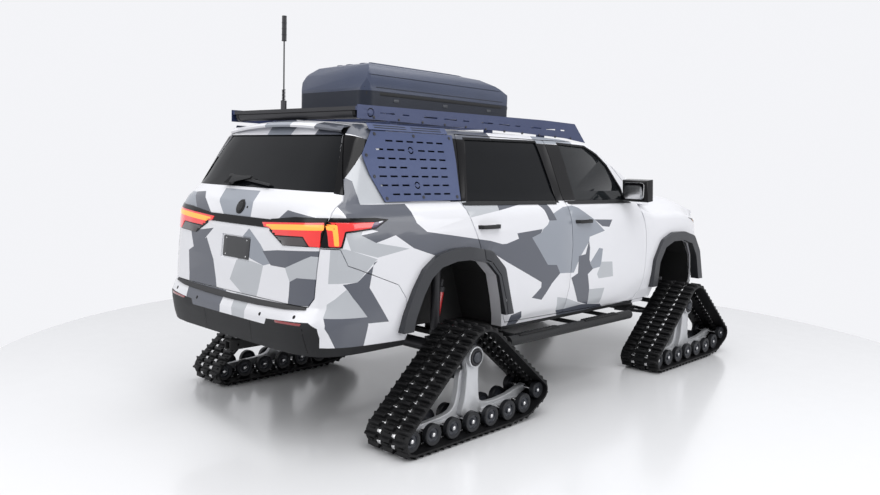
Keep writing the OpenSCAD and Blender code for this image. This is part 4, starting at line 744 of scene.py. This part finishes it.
tailPatches = [
    ("dark", [(0.67, 1.56), (0.54, 1.57), (0.32, 1.42), (0.5, 1.42)]),
    ("mid", [(0.9, 1.56), (0.67, 1.56), (0.5, 1.42), (0.9, 1.42)]),
    ("mid", [(0.32, 1.6), (-0.1, 1.6), (-0.15, 1.42), (0.16, 1.42), (0.28, 1.51)]),
    ("dark", [(-0.51, 1.5), (-0.76, 1.47), (-0.76, 1.43), (-0.43, 1.43)]),
    ("dark", [(0.59, 1.29), (0.29, 1.33), (0.52, 1.15)]),
    ("dark", [(0.6, 1.15), (0.37, 1.26), (0.26, 1.12), (0.19, 0.93), (0.56, 0.93)]),
    ("mid", [(-0.07, 1.3), (-0.14, 1.36), (-0.28, 1.27), (-0.41, 1.16), (-0.33, 1.14), (-0.03, 1.2)]),
    ("dark", [(-0.31, 1.23), (-0.47, 1.25), (-0.9, 1.28), (-0.9, 1.24), (-0.77, 1.24), (-0.56, 1.15),
        (-0.41, 1.15)]),
    ("light", [(-0.04, 1.17), (-0.33, 1.14), (-0.28, 0.93), (-0.13, 0.93), (0.04, 1.01)]),
    ("light", [(-0.56, 1.15), (-0.77, 1.24), (-0.9, 1.24), (-0.9, 1.11), (-0.67, 1.1), (-0.61, 1.07)]),
    ("dark", [(-0.67, 1.1), (-0.9, 1.11), (-0.9, 0.95), (-0.61, 0.93), (-0.61, 1.07)]),
    ("dark", [(0.56, 0.95), (0.07, 0.93), (0.08, 0.78), (0.5, 0.78)]),
    ("light", [(-0.05, 0.93), (-0.22, 0.93), (-0.21, 0.78), (-0.07, 0.78)]),
    ("dark", [(-0.38, 2.2), (-0.7, 2.2), (-0.7, 1.97), (-0.38, 1.97)]),
    ("mid", [(0.2, 2.2), (-0.15, 2.2), (-0.12, 1.97), (0.15, 1.97)])]


def sideZones(aim=0):
    return [{"look": "wrap" + tone.capitalize(), "plane": "XZ", "outline": line, "aim": aim}
        for tone, line in sidePatches]


tailZones = [{"look": "wrap" + tone.capitalize(), "plane": "YZ", "outline": line, "aim": -1}
    for tone, line in tailPatches]

# Outlines of the side windows, and the black that frames them
frontWindow = [(0, 1.545), (0.757, 1.545), (0.735, 1.635), (0.578, 1.83), (0.45, 1.92), (0.299, 1.982),
    (-0.08, 1.993)]
rearWindow = [(-1.31, 1.558), (-0.265, 1.548), (-0.385, 1.996), (-1.215, 1.985)]
windowEdge = 0.016
skinInset = [(0.545, 0.072), (0.64, 0.04), (0.72, 0.018), (0.85, 0.004), (1.0, 0), (1.2, 0), (1.35, 0.006),
    (1.45, 0.018), (1.5, 0.032), (1.53, 0.054), (1.56, 0.076), (1.62, 0.094), (1.75, 0.132), (1.88, 0.17),
    (1.96, 0.197), (2.01, 0.222), (2.045, 0.262)]


# How far a spot stands outside the plain side of the body
def proudOf(spot):
    inset = skinInset[-1][1]
    for (z0, d0), (z1, d1) in zip(skinInset, skinInset[1:]):
        if spot.z <= z1:
            inset = d0 + (d1 - d0) * max(0, spot.z - z0) / (z1 - z0)
            break
    return abs(spot.y) - (0.99 - inset - 0.009 * (spot.x / 1.5) ** 2)


def grow(outline, reach):
    turned = sum(a[0] * b[1] - b[0] * a[1] for a, b in zip(outline, outline[1:] + outline[:1]))
    way = 1 if turned > 0 else -1
    line = []
    for i, corner in enumerate(outline):
        before = (Vector(corner) - Vector(outline[i - 1])).normalized()
        after = (Vector(outline[(i + 1) % len(outline)]) - Vector(corner)).normalized()
        across = [Vector((d.y, -d.x)) * way for d in (before, after)]
        middle = (across[0] + across[1]).normalized()
        line.append(tuple(Vector(corner) + middle * reach / max(0.4, middle.dot(across[0]))))
    return line


def band(plane, look, low, high, aim=0, **extra):
    outline = [(low[0], low[1]), (high[0], low[1]), (high[0], high[1]), (low[0], high[1])]
    return {"look": look, "plane": plane, "outline": outline, "aim": aim, **extra}


def isHandle(spot, normal):
    return proudOf(spot) > 0.0025 and spot.z > 1.33


def isFlare(spot, normal):
    return proudOf(spot) > 0.0012 and spot.z < 1.33


def facesBack(spot, normal):
    return abs(normal.x) > abs(normal.y)


doorZones = {
    "front": [{"look": "gloss", "plane": "XZ", "outline": grow(frontWindow, windowEdge)},
        {"look": "gloss", "plane": "XZ", "outline": [(-0.5, 1.547), (0.02, 1.547), (-0.06, 1.99),
        (-0.5, 1.99)]}, band("XZ", "trim", (-0.2, 1.34), (0.2, 1.42), test=isHandle)],
    "rear": [{"look": "gloss", "plane": "XZ", "outline": grow(rearWindow, windowEdge)},
        {"look": "gloss", "plane": "XZ", "outline": [(-0.28, 1.547), (0, 1.547), (-0.2, 1.99),
        (-0.4, 1.99)]}, {"look": "gloss", "plane": "XZ", "outline": [(-1.45, 1.557), (-1.29, 1.557),
        (-1.2, 1.985), (-1.4, 1.985)]}, band("XZ", "trim", (-1.3, 1.34), (-1.0, 1.42), test=isHandle),
        band("XZ", "flare", (-1.4, 0.6), (-0.7, 1.32), test=isFlare)]}
blackCorner = [(0.434, 0.79), (0.45, 0.828), (0.6, 0.838), (0.81, 0.85), (0.862, 0.818), (0.88, 0.7),
    (1.05, 0.66), (1.05, 0.5)]
bodyZones = [
    {"look": "gloss", "plane": "XZ", "outline": [(-2.24, 1.99), (-2.105, 1.94), (-2.37, 1.635),
        (-2.48, 1.6)]},
    {"look": "gloss", "plane": "XZ", "outline": [(-1.48, 1.557), (-1.33, 1.557), (-1.24, 1.99),
        (-1.4, 1.985)]},
    # black band along the rocker below the doors: black trim, and also painted shade from the side step
    band("XZ", "trim", (-0.95, 0.5), (0.95, 0.633))]
bumperZones = [
    {"look": "trim", "plane": "XZ", "outline": [(-2.75, 0.5), (-2.75, 0.7), (-2.53, 0.7), (-1.8, 0.672),
        (-1.8, 0.5)]},
    {"look": "trim", "plane": "YZ", "aim": -1, "test": facesBack,
        "outline": blackCorner + [(-y, z) for y, z in blackCorner[::-1]]}]

gateFrame = [(0.777, 1.612), (0.95, 1.585), (0.95, 2.1), (0.6, 2.1), (0.6, 1.985), (0.641, 1.975)]
gateZones = [{"look": "gloss", "plane": "YZ", "aim": -1, "outline": [(side * y, z) for y, z in gateFrame]}
    for side in (1, -1)]

# What each panel wears: its finish, then zones in other finishes
panelLooks = {"body_sides": ("wrapWhite", sideZones() + bodyZones), "roof": ("topWrap", ()),
    "front_fenders": ("wrapWhite", sideZones()), "hood": ("topWrap", ()), "liftgate": ("wrapWhite",
        tailZones + gateZones),
    "gate_trim": ("gloss", [band("YZ", "wrapWhite", (-0.8, 1.9), (0.8, 2.3), -1)] + tailZones[-2:]),
    "arch_flares": ("flare", ()),
    "rear_bumper": ("wrapWhite", [dict(z, test=lambda c, n: not facesBack(c, n)) for z in sideZones()]
        + [dict(z, test=facesBack) for z in tailZones if z["outline"][0][1] < 0.96] + bumperZones),
    "front_bumper": ("wrapWhite", [band("YZ", "trim", (-1.1, 0.5), (1.1, 0.7), 1)]), "grille": ("trim", ()),
    "headlamps": ("gloss", ()), "tail_lamps": ("gloss", ()), "windshield": ("screenGlass", ()),
    "quarter_glass": ("darkGlass", ()), "gate_glass": ("darkGlass", ()), "side_steps": ("trim", ()),
    "slotted_panels": ("plateCoatBlueSheen", ()), "roof_rack": ("rackCoatBlueSheen", [
        band("XY", "blackSteel", (-2.2, -0.69), (-2.05, 0.69))]), "box_base": ("boxDark", ()),
    "box_lid": ("boxCoatBlueSheen", ()), "dashboard": ("cabin", ()), "steering_wheel": ("cabin", ())}
for sideName in ("left", "right"):
    for end in ("front", "rear"):
        panelLooks[f"door_{end}_{sideName}"] = ("wrapWhite", sideZones() + doorZones[end])
        panelLooks[f"glass_{end}_{sideName}"] = ("darkGlass" if end == "rear" else "frontGlass", ())
    panelLooks["mirror_" + sideName] = ("gloss", ())
smoothing = {"arch_flares": {"crease": 50, "bevel": 0.009}, "mirror_left": {"bevel": 0.012},
    "mirror_right": {"bevel": 0.012},
    "door_rear_left": {"crease": 48, "merge": False}, "door_rear_right": {"crease": 48, "merge": False},
    "door_front_left": {"merge": False}, "door_front_right": {"merge": False}}
for node, (look, zones) in panelLooks.items():
    dressPanel(node, look, zones, **smoothing.get(node, {}))
print("panels dressed")


# Trim laid on a panel: its outline is cut in a grid, dropped on the panel's skin and given a thickness
def skinOf(node):
    bm = bmesh.new()
    bm.from_mesh(frame["nodes"][node].data)
    tree = BVHTree.FromBMesh(bm)
    bm.free()
    return tree


skins = {}


def layOn(bm, node, outline, plane, aim, lift, depth, step=0.04, edge=0.0):
    if node not in skins:
        skins[node] = skinOf(node)
    skin = skins[node]
    first, second = ("XYZ".index(c) for c in plane)
    third = 3 - first - second
    part = bmesh.new()
    verts = []
    for a, b in outline:
        spot = Vector((0, 0, 0))
        spot[first], spot[second] = a, b
        verts.append(part.verts.new(spot))
    part.faces.new(verts)
    for axis, place in ((first, 0), (second, 1)):
        low, high = min(p[place] for p in outline), max(p[place] for p in outline)
        count = max(1, math.ceil((high - low) / step))
        for k in range(1, count):
            spot, across = Vector((0, 0, 0)), Vector((0, 0, 0))
            spot[axis], across[axis] = low + (high - low) * k / count, 1
            bmesh.ops.bisect_plane(part, geom=part.verts[:] + part.edges[:] + part.faces[:], dist=0.00001,
                plane_co=spot, plane_no=across)
    toward = Vector((0, 0, 0))
    toward[third] = -aim
    depths, missed = [], []
    for vert in part.verts:
        start = vert.co.copy()
        start[third] = aim * 6
        spot, normal = skin.ray_cast(start, toward)[:2]
        if spot is None:
            missed.append(vert)
            continue
        vert.co = spot + normal * lift
        depths.append(spot[third])
    for vert in missed:
        vert.co[third] = sum(depths) / len(depths)
        spot, normal = skin.find_nearest(vert.co)[:2]
        vert.co = spot + normal * lift
    grown = bmesh.ops.extrude_face_region(part, geom=part.faces[:])["geom"]
    back = [v for v in grown if isinstance(v, bmesh.types.BMVert)]
    bmesh.ops.translate(part, verts=back, vec=toward * depth)
    bmesh.ops.recalc_face_normals(part, faces=part.faces)
    if edge:
        found = set(back)
        rim = [e for e in part.edges if not (e.verts[0] in found or e.verts[1] in found)
            and e.calc_face_angle(0) > math.radians(50)]
        bmesh.ops.bevel(part, geom=rim, offset=edge, segments=2, profile=0.5, affect="EDGES", material=-1,
            clamp_overlap=True)
    copyAlong(bm, part, [Matrix()])


# Rounds the corners of an outline
def soften(points, radius, steps=4):
    line = []
    for i, corner in enumerate(points):
        corner = Vector(corner)
        before, after = Vector(points[i - 1]) - corner, Vector(points[(i + 1) % len(points)]) - corner
        one = corner + before.normalized() * min(radius, before.length * 0.45)
        other = corner + after.normalized() * min(radius, after.length * 0.45)
        for s in range(steps + 1):
            t = s / steps
            line.append(tuple(one.lerp(corner, t).lerp(corner.lerp(other, t), t)))
    return line


def ringOf(centre, radius, count=32):
    return [(centre[0] + radius * math.cos(math.tau * i / count), centre[1]
        + radius * math.sin(math.tau * i / count)) for i in range(count)]


def addTrim(name, node, look, shapes, lift=0.003, depth=0.008, step=0.04, edge=0.0, crease=32):
    bm = bmesh.new()
    for outline, plane, aim in shapes:
        layOn(bm, node, outline, plane, aim, lift, depth, step, edge)
    makePiece(name, bm, look, nodeBody[node], crease)


def mirrored(outline):
    return [(-a, b) for a, b in outline]


def onBoth(outline, plane, aim):
    if plane == "XZ":
        return [(outline, plane, 1), (outline, plane, -1)]
    return [(outline, plane, aim), (mirrored(outline), plane, aim)]


# Tail lamps: lenses on black housings, on the gate and on the body
lampLenses = {
    "gateRed": ("gate_trim", "redLens", "YZ", 0.0025, [(0.285, 1.411), (0.6, 1.43), (0.836, 1.443),
        (0.836, 1.298), (0.755, 1.296), (0.7, 1.352), (0.352, 1.338)]),
    "gateAmber": ("gate_trim", "amberLens", "YZ", 0.004, [(0.331, 1.401), (0.6, 1.418), (0.836, 1.431),
        (0.836, 1.397), (0.6, 1.384), (0.347, 1.369)]),
    "gateSmoke": ("gate_trim", "smokeLens", "YZ", 0.003, [(0.375, 1.33), (0.695, 1.346), (0.742, 1.299),
        (0.51, 1.286)]),
    "sideRed": ("tail_lamps", "redLens", "XZ", 0.0025, [(-2.489, 1.446), (-2.2, 1.446), (-2.235, 1.412),
        (-2.413, 1.394), (-2.438, 1.303), (-2.49, 1.303)]),
    "sideAmber": ("tail_lamps", "amberLens", "XZ", 0.004, [(-2.489, 1.433), (-2.447, 1.433),
        (-2.447, 1.308), (-2.468, 1.308), (-2.468, 1.399), (-2.489, 1.399)]),
    "sideTip": ("tail_lamps", "tipLens", "XZ", 0.003, [(-2.215, 1.446), (-2.13, 1.453), (-2.2, 1.417),
        (-2.24, 1.413)]),
    "sideSilver": ("tail_lamps", "clearLens", "XZ", 0.0045, [(-2.175, 1.45), (-2.14, 1.453),
        (-2.158, 1.441), (-2.182, 1.439)])}
for name, (node, look, plane, lift, line) in lampLenses.items():
    addTrim("lamp." + name, node, look, onBoth(soften(line, 0.008), plane, -1), lift, 0.006, 0.03, 0.0012)

# Belt strips under the side windows, one on each door
for sideName, side in (("left", 1), ("right", -1)):
    addTrim("belt.strip.front." + sideName, "door_front_" + sideName, "trim",
        [([(-0.283, 1.518), (0.83, 1.512), (0.775, 1.541), (-0.283, 1.544)], "XZ", side)], 0.005, 0.01,
        0.1, 0.002)
    addTrim("belt.strip.rear." + sideName, "door_rear_" + sideName, "trim",
        [([(-1.37, 1.528), (-0.293, 1.519), (-0.293, 1.546), (-1.37, 1.555)], "XZ", side)], 0.005, 0.01,
        0.1, 0.002)
    addTrim("mirror.glass." + sideName, "mirror_" + sideName, "steel", [(soften([(side * 1.0, 1.56),
        (side * 1.19, 1.56), (side * 1.195, 1.7), (side * 1.0, 1.7)], 0.03), "YZ", -1)], 0.0015, 0.004,
        0.05, 0.001)
    addTrim("mirror.cap." + sideName, "mirror_" + sideName, "clearLens", [(soften([(side * 1.02, 1.632),
        (side * 1.2, 1.632), (side * 1.2, 1.646), (side * 1.02, 1.646)], 0.006), "YZ", 1)], 0.002, 0.004,
        0.03, 0.001)

# Gate: blank disc, lens of the camera, blank plate and wiper
addTrim("gate.disc", "liftgate", "gloss", [(ringOf((0, 1.49), 0.046), "YZ", -1)], 0.006, 0.01, 0.03, 0.003)
addTrim("gate.ring", "liftgate", "trim", [(ringOf((0, 1.49), 0.03), "YZ", -1)], 0.0085, 0.004, 0.03, 0.0015)
addTrim("gate.eye", "liftgate", "gloss", [(ringOf((-0.075, 1.492), 0.007, 16), "YZ", -1)], 0.003, 0.004,
    0.03, 0.001)
addTrim("plate", "liftgate", "plateBlank", [(soften([(-0.155, 1.156), (0.155, 1.156), (0.155, 1.294),
    (-0.155, 1.294)], 0.012), "YZ", -1)], 0.0045, 0.003, 0.05, 0.0012)
addTrim("plate.screws", "liftgate", "steel", [(ringOf((y, z), 0.005, 12), "YZ", -1) for y in (-0.12, 0.12)
    for z in (1.172, 1.278)], 0.0065, 0.003, 0.03, 0.001)
addTrim("wiper.blade", "gate_glass", "trim", [(soften([(0.345, 1.69), (-0.19, 1.634), (-0.195, 1.62),
    (0.34, 1.668)], 0.006), "YZ", -1)], 0.024, 0.014, 0.06, 0.003)
addTrim("wiper.arm", "gate_glass", "trim", [(soften([(0.34, 1.618), (0.28, 1.618), (0.05, 1.66),
    (0.05, 1.676), (0.3, 1.668)], 0.01), "YZ", -1)], 0.034, 0.014, 0.06, 0.004)

# Rear bumper: step pad, reflectors and joints in the lower cover
padTop = [(0.75, 0.93), (0.6, 0.928), (0.3, 0.922), (0, 0.92), (-0.3, 0.922), (-0.6, 0.928), (-0.765, 0.93)]
padLow = [(-0.765, 0.915), (-0.6, 0.9), (-0.3, 0.889), (0, 0.886), (0.3, 0.889), (0.6, 0.9), (0.75, 0.915)]
addTrim("step.pad", "rear_bumper", "treadPad", [(padTop + padLow, "YZ", -1)], 0.01, 0.022, 0.05, 0.004)
addTrim("reflectors", "rear_bumper", "reflector", onBoth(soften([(0.54, 0.833), (0.768, 0.84),
    (0.76, 0.825), (0.55, 0.818)], 0.004), "YZ", -1), 0.003, 0.006, 0.05, 0.001)
addTrim("bumper.joints", "rear_bumper", "gloss", onBoth([(0.27, 0.79), (0.2755, 0.79), (0.2755, 0.66),
    (0.27, 0.66)], "YZ", -1) + onBoth([(0.77, 0.81), (0.7755, 0.81), (0.7955, 0.66), (0.79, 0.66)], "YZ",
    -1), 0.0006, 0.002, 0.04)
addTrim("bumper.sensors", "rear_bumper", "gloss", onBoth(ringOf((0.38, 0.845), 0.011, 18), "YZ", -1)
    + onBoth(ringOf((0.7, 0.87), 0.011, 18), "YZ", -1), 0.0015, 0.003, 0.03, 0.001)

# Headlamps: clear strips and an amber marker in each
addTrim("headlamp.strips", "headlamps", "clearLens", onBoth(soften([(0.6, 1.3), (0.84, 1.31),
    (0.85, 1.285), (0.6, 1.275)], 0.006), "YZ", 1) + onBoth(soften([(0.6, 1.25), (0.82, 1.25), (0.82, 1.2),
    (0.6, 1.195)], 0.02), "YZ", 1), 0.002, 0.006, 0.04, 0.0015)
addTrim("headlamp.markers", "headlamps", "markerLens", onBoth(soften([(2.0, 1.34), (2.13, 1.325),
    (2.2, 1.29), (2.06, 1.32)], 0.006), "XZ", 1), 0.002, 0.006, 0.04, 0.0015)

# Roof box: raised ribs on the lid and latches on the rim
lidRibs = [[(-0.5, y), (-1.62, y), (-1.66, y + 0.012), (-1.62, y + 0.024), (-0.5, y + 0.024)]
    for y in (-0.26, -0.16, -0.01, 0.09)]
addTrim("lid.ribs", "box_lid", "boxCoatBlueSheen", [(soften(line, 0.01), "XY", 1) for line in lidRibs], 0.005,
    0.008, 0.08, 0.003)
# thin dark strips along the lid's two creases are painted shade in the creases
addTrim("lid.creaseShade", "box_lid", "boxDark", onBoth([(-0.34, 2.312), (-1.84, 2.312), (-1.84, 2.317),
    (-0.34, 2.317)], "XZ", 1) + onBoth([(-0.36, 2.4), (-1.8, 2.4), (-1.8, 2.404), (-0.36, 2.404)], "XZ", 1),
    0.0012, 0.003, 0.08)
addTrim("box.latches", "box_base", "disc", [(soften([(x, 2.222), (x + 0.05, 2.222), (x + 0.05, 2.246),
    (x, 2.246)], 0.006), "XZ", -1) for x in (-1.6, -1.1, -0.6)], 0.003, 0.006, 0.03, 0.0015)
addTrim("box.band", "box_base", "trim", [([(-0.33, 2.262), (-1.83, 2.262), (-1.83, 2.284), (-0.33, 2.284)],
    "XZ", side) for side in (1, -1)], 0.003, 0.006, 0.12, 0.0015)
print("trim laid")


# Bolts: low round heads in rows
def addBolts(name, node, look, spots, axis, radius=0.009, height=0.005):
    bm = bmesh.new()
    for spot in spots:
        addLathe(bm, [(0.0, height), (radius * 0.7, height), (radius, height * 0.5), (radius, -height),
            (0.0, -height)], spot, axis, 14)
    makePiece(name, bm, look, nodeBody[node])


rackBolts = [(-2.02 + 0.22 * i, 2.092 - 0.004 * i) for i in range(11)]
plateBolts = [(-2.06, 1.585), (-1.42, 1.59), (-1.38, 1.985), (-2.06, 1.985), (-2.165, 1.85), (-2.13, 1.72),
    (-1.74, 1.59), (-1.72, 1.985)]
for sideName, side in (("left", 1), ("right", -1)):
    addBolts("rack.bolts." + sideName, "roof_rack", "blackSteel", [(x, side * 0.721, z) for x,
        z in rackBolts], (0, side, 0))
    bm = bmesh.new()
    for x, z in plateBolts:
        layOn(bm, "slotted_panels", ringOf((x, z), 0.011, 16), "XZ", side, 0.003, 0.005, 0.05, 0.001)
    makePiece("plate.bolts." + sideName, bm, "blackSteel", "body")

# Bent upper flange of each slotted panel, with its slots
flange = {"y": 0.752, "z": 2.032, "lean": 38, "ends": (-2.1, -1.38), "half": 0.026, "thick": 0.002}
flangeSlot = {"starts": (-2.05, -1.72), "rises": (-0.012, 0.006), "long": 0.28, "high": 0.006,
    "thick": 0.003}
bm, slots = bmesh.new(), bmesh.new()
for side in (1, -1):
    place = Matrix.Translation((0, side * flange["y"], flange["z"]))
    lean = place @ Matrix.Rotation(side * math.radians(flange["lean"]), 4, "X")
    back, front = flange["ends"]
    verts = addBlock(bm, (back, -flange["thick"], -flange["half"]), (front, flange["thick"],
        flange["half"]))
    bmesh.ops.transform(bm, matrix=lean, verts=verts)
    for start in flangeSlot["starts"]:
        for rise in flangeSlot["rises"]:
            verts = addBlock(slots, (start, -flangeSlot["thick"], rise),
                (start + flangeSlot["long"], flangeSlot["thick"], rise + flangeSlot["high"]))
            bmesh.ops.transform(slots, matrix=lean, verts=verts)
makePiece("plate.flanges", bm, "plateCoatBlueSheen", "body", bevel=0.0015)
makePiece("plate.flange.slots", slots, "trim", "body")

# Ends of the cross tube, coil and rings of the mast
crossTube = {"x": -2.1035, "y": 0.681, "z": 2.118}
mast = {"x": -2.125, "y": 0.105, "foot": 2.215, "coil": 0.011, "rise": 0.0008, "wire": 0.0025, "turns": 8,
    "rings": (2.62, 2.66, 2.7, 2.74)}
bm = bmesh.new()
for side in (1, -1):
    addLathe(bm, [(0.0, 0.004), (0.03, 0.004), (0.0385, 0.0), (0.0385, -0.03), (0.03, -0.03)],
        (crossTube["x"], side * crossTube["y"], crossTube["z"]), (0, side, 0), 32)
makePiece("tube.ends", bm, "gloss", "body")
bm = bmesh.new()
coil = []
for k in range(12 * mast["turns"]):
    turn = k * math.tau / 12
    coil.append((mast["x"] + mast["coil"] * math.cos(turn), mast["y"] + mast["coil"] * math.sin(turn),
        mast["foot"] + mast["rise"] * k))
addTube(bm, coil, mast["wire"], 6)
for z in mast["rings"]:
    addLathe(bm, [(0.0155, 0.0), (0.0175, 0.002), (0.0175, 0.006), (0.0155, 0.008)],
        (mast["x"], mast["y"], z), (0, 0, 1), 24)
makePiece("mast.coil", bm, "blackSteel", "body")

# Rubber pads of the side steps, with ribs across them
stepPad = {"starts": (-0.88, -0.02), "long": 0.5, "y": 1.06, "half": 0.026, "low": 0.578, "high": 0.59}
stepRib = {"count": 12, "start": 0.03, "pitch": 0.038, "long": 0.012, "half": 0.02, "low": 0.589,
    "high": 0.593}
bm = bmesh.new()
for side in (1, -1):
    y = side * stepPad["y"]
    for x in stepPad["starts"]:
        addBlock(bm, (x, y - stepPad["half"], stepPad["low"]), (x + stepPad["long"], y + stepPad["half"],
            stepPad["high"]), 0.004)
        for k in range(stepRib["count"]):
            start = x + stepRib["start"] + stepRib["pitch"] * k
            addBlock(bm, (start, y - stepRib["half"], stepRib["low"]), (start + stepRib["long"],
                y + stepRib["half"], stepRib["high"]), 0.001, 1)
makePiece("step.rubber", bm, "rubber", "body")

# Shock absorbers behind the rear arches
shock = {"y": 0.7, "foot": (-1.381, 0.7), "head": (-1.335, 0.92)}
bm, ends = bmesh.new(), bmesh.new()
for side in (1, -1):
    low, high = (Vector((x, side * shock["y"], z)) for x, z in (shock["foot"], shock["head"]))
    along = high - low
    addLathe(bm, [(0.0, 0.0), (0.024, 0.0), (0.029, 0.006), (0.029, along.length - 0.01),
        (0.024, along.length), (0.0, along.length)], low, along, 28)
    addLathe(ends, [(0.0, -0.05), (0.014, -0.05), (0.014, -0.012), (0.031, -0.008), (0.031, 0.016),
        (0.029, 0.02)], low, along, 24)
    addLathe(ends, [(0.03, -0.02), (0.032, 0.0), (0.032, 0.016), (0.014, 0.024), (0.014, 0.07),
        (0.0, 0.07)], high, along, 24)
makePiece("shock.bodies", bm, "springRed", "body")
makePiece("shock.ends", ends, "blackSteel", "body")
print("fittings made")

# Cabin: cushions, backs and headrests of the seats on hard shells
seatRows = {"front": {"x": 0.15, "z": 0.636, "width": 0.5, "places": (0.4, -0.4)},
    "second": {"x": -0.59, "z": 0.636, "width": 0.54, "places": (0.38, -0.38)},
    "third": {"x": -1.65, "z": 0.85, "width": 1.02, "places": (0,)}}
padShape = {"cuts": 9, "crown": 0.018, "pull": 0.05, "groove": 0.008}


# A crowned closed cushion: its sides pull in between the corners, and sewn channels run across its top
def addPad(name, size, matrix, body):
    bm = bmesh.new()
    bmesh.ops.create_cube(bm, size=2)
    bmesh.ops.subdivide_edges(bm, edges=bm.edges, cuts=padShape["cuts"], use_grid_fill=True)
    long, wide, thick = (s / 2 for s in size)
    for vert in bm.verts:
        u, v, w = vert.co
        rim = (1 - u ** 4) * (1 - v ** 4)
        shrink = 1 - 0.5 * max(abs(u), abs(v)) ** 6 * abs(w) ** 3 * 0.35
        channel = sum(math.exp(-((u - k) / 0.05) ** 2) for k in (-0.45, 0.05, 0.5))
        rise = padShape["crown"] * rim - padShape["groove"] * channel * (1 - v ** 8) if w > 0.9 else 0
        vert.co = (long * u * shrink * (1 - padShape["pull"] * (1 - v * v) * abs(u) ** 3 * 0.3),
            wide * v * shrink * (1 - padShape["pull"] * (1 - u * u) * abs(v) ** 3 * 0.3),
            (thick - padShape["crown"]) * w * (0.72 + 0.28 * rim) + rise)
    bmesh.ops.transform(bm, matrix=matrix, verts=bm.verts)
    pad = makePiece(name, bm, "cloth", body, crease=180)
    smooth = pad.modifiers.new("smooth", "SUBSURF")
    smooth.levels = smooth.render_levels = 1
    return pad


firstPad = None
for rowName, row in seatRows.items():
    for number, y in enumerate(row["places"]):
        tag = f"{rowName}.{number}"
        place = Matrix.Translation((row["x"], y, row["z"]))
        wide = row["width"]
        pad = addPad("seat.cushion." + tag, (0.5, wide, 0.115), place @ Matrix.Translation((0.02, 0, 0.166))
            @ Matrix.Rotation(math.radians(-3), 4, "Y"), "body")
        firstPad = firstPad or pad
        lean = Matrix.Rotation(math.radians(-77), 4, "Y")
        addPad("seat.back." + tag, (0.56, wide, 0.125), place @ Matrix.Translation((-0.262, 0, 0.47))
            @ lean, "body")
        heads = (0,) if wide < 0.8 else (-0.32, 0.32)
        for k, shift in enumerate(heads):
            addPad(f"seat.head.{tag}.{k}", (0.16, 0.26, 0.085), place @ Matrix.Translation((-0.352, shift,
                0.86)) @ lean, "body")
shells = bmesh.new()
posts = bmesh.new()
for row in seatRows.values():
    for y in row["places"]:
        x, z, half = row["x"], row["z"], row["width"] / 2
        addBlock(shells, (x - 0.19, y - half + 0.03, z + 0.001), (x + 0.17, y + half - 0.03, z + 0.105),
            0.012, 3)
        for shift in ((0,) if half < 0.4 else (-0.32, 0.32)):
            for gap in (-0.06, 0.06):
                addTube(posts, [(x - 0.32, y + shift + gap, z + 0.72), (x - 0.35, y + shift + gap,
                    z + 0.86)], 0.006, 10)
makePiece("seat.shells", shells, "cabin", "body")
makePiece("seat.posts", posts, "steel", "body")
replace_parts(firstPad, "seats")

# Dashboard screen and vents
addTrim("dash.screen", "dashboard", "gloss", [(soften([(-0.14, 1.36), (0.14, 1.36), (0.14, 1.46),
    (-0.14, 1.46)], 0.012), "YZ", -1)], 0.006, 0.01, 0.06, 0.002)
addTrim("dash.vents", "dashboard", "trim", [(soften([(y, 1.4), (y + 0.14, 1.4), (y + 0.14, 1.45),
    (y, 1.45)], 0.01), "YZ", -1) for y in (-0.66, -0.32, 0.52)], 0.004, 0.008, 0.05, 0.002)
print("cabin made")

# Stage: a pale disc, with the world as a pale backdrop for what the camera and reflections see
stageSize = {"radius": 4.51, "middle": (0.394, 0.323)}
lights = {"backdrop": 0.95, "fill": 0.42, "areas": {
    "key": ((-4.5, -6, 9), (0, 0, 0.8), (8, 6), 520), "top": ((0, 0, 9.5), (0, 0, 0), (10, 7), 420),
    "rear": ((-9, 1.5, 5), (-2, 0, 1), (6, 5), 230), "side": ((3, -9.5, 4), (0.5, 0, 1), (8, 4), 260)}}


def makeStage():
    bm = bmesh.new()
    bmesh.ops.create_circle(bm, cap_ends=True, radius=stageSize["radius"], segments=256,
        matrix=Matrix.Translation((*stageSize["middle"], -0.0015)))
    mesh = bpy.data.meshes.new("floor")
    bm.to_mesh(mesh)
    bm.free()
    floor = bpy.data.objects.new("floor", mesh)
    bpy.context.collection.objects.link(floor)
    mesh.materials.append(makeFinish("floorCoat", stageColours["floor"], stageColours["floor"],
        roughness=0.22, scale=900, depth=0.03, coat=0.15))


def makeLights():
    world = bpy.data.worlds.new("world")
    bpy.context.scene.world = world
    world.use_nodes = True
    tree = world.node_tree
    ray = tree.nodes.new("ShaderNodeLightPath")
    seen = addMath(tree, "MAXIMUM", ray.outputs["Is Camera Ray"], ray.outputs["Is Transmission Ray"])
    seen = addMath(tree, "MAXIMUM", seen, ray.outputs["Is Glossy Ray"])
    strength = addMath(tree, "MULTIPLY_ADD", seen, lights["backdrop"] - lights["fill"])
    strength.node.inputs[2].default_value = lights["fill"]
    background = tree.nodes["Background"]
    background.inputs["Color"].default_value = (*stageColours["wall"], 1)
    tree.links.new(strength, background.inputs["Strength"])
    for name, (place, aim, size, power) in lights["areas"].items():
        data = bpy.data.lights.new(name, "AREA")
        data.shape = "RECTANGLE"
        data.size, data.size_y = size
        data.energy = power
        light = bpy.data.objects.new(name, data)
        light.location = place
        light.rotation_euler = (Vector(aim) - Vector(place)).to_track_quat("-Z", "Y").to_euler()
        bpy.context.collection.objects.link(light)


makeStage()
makeLights()
makeCamera()
bpy.context.scene.view_settings.view_transform = "Standard"
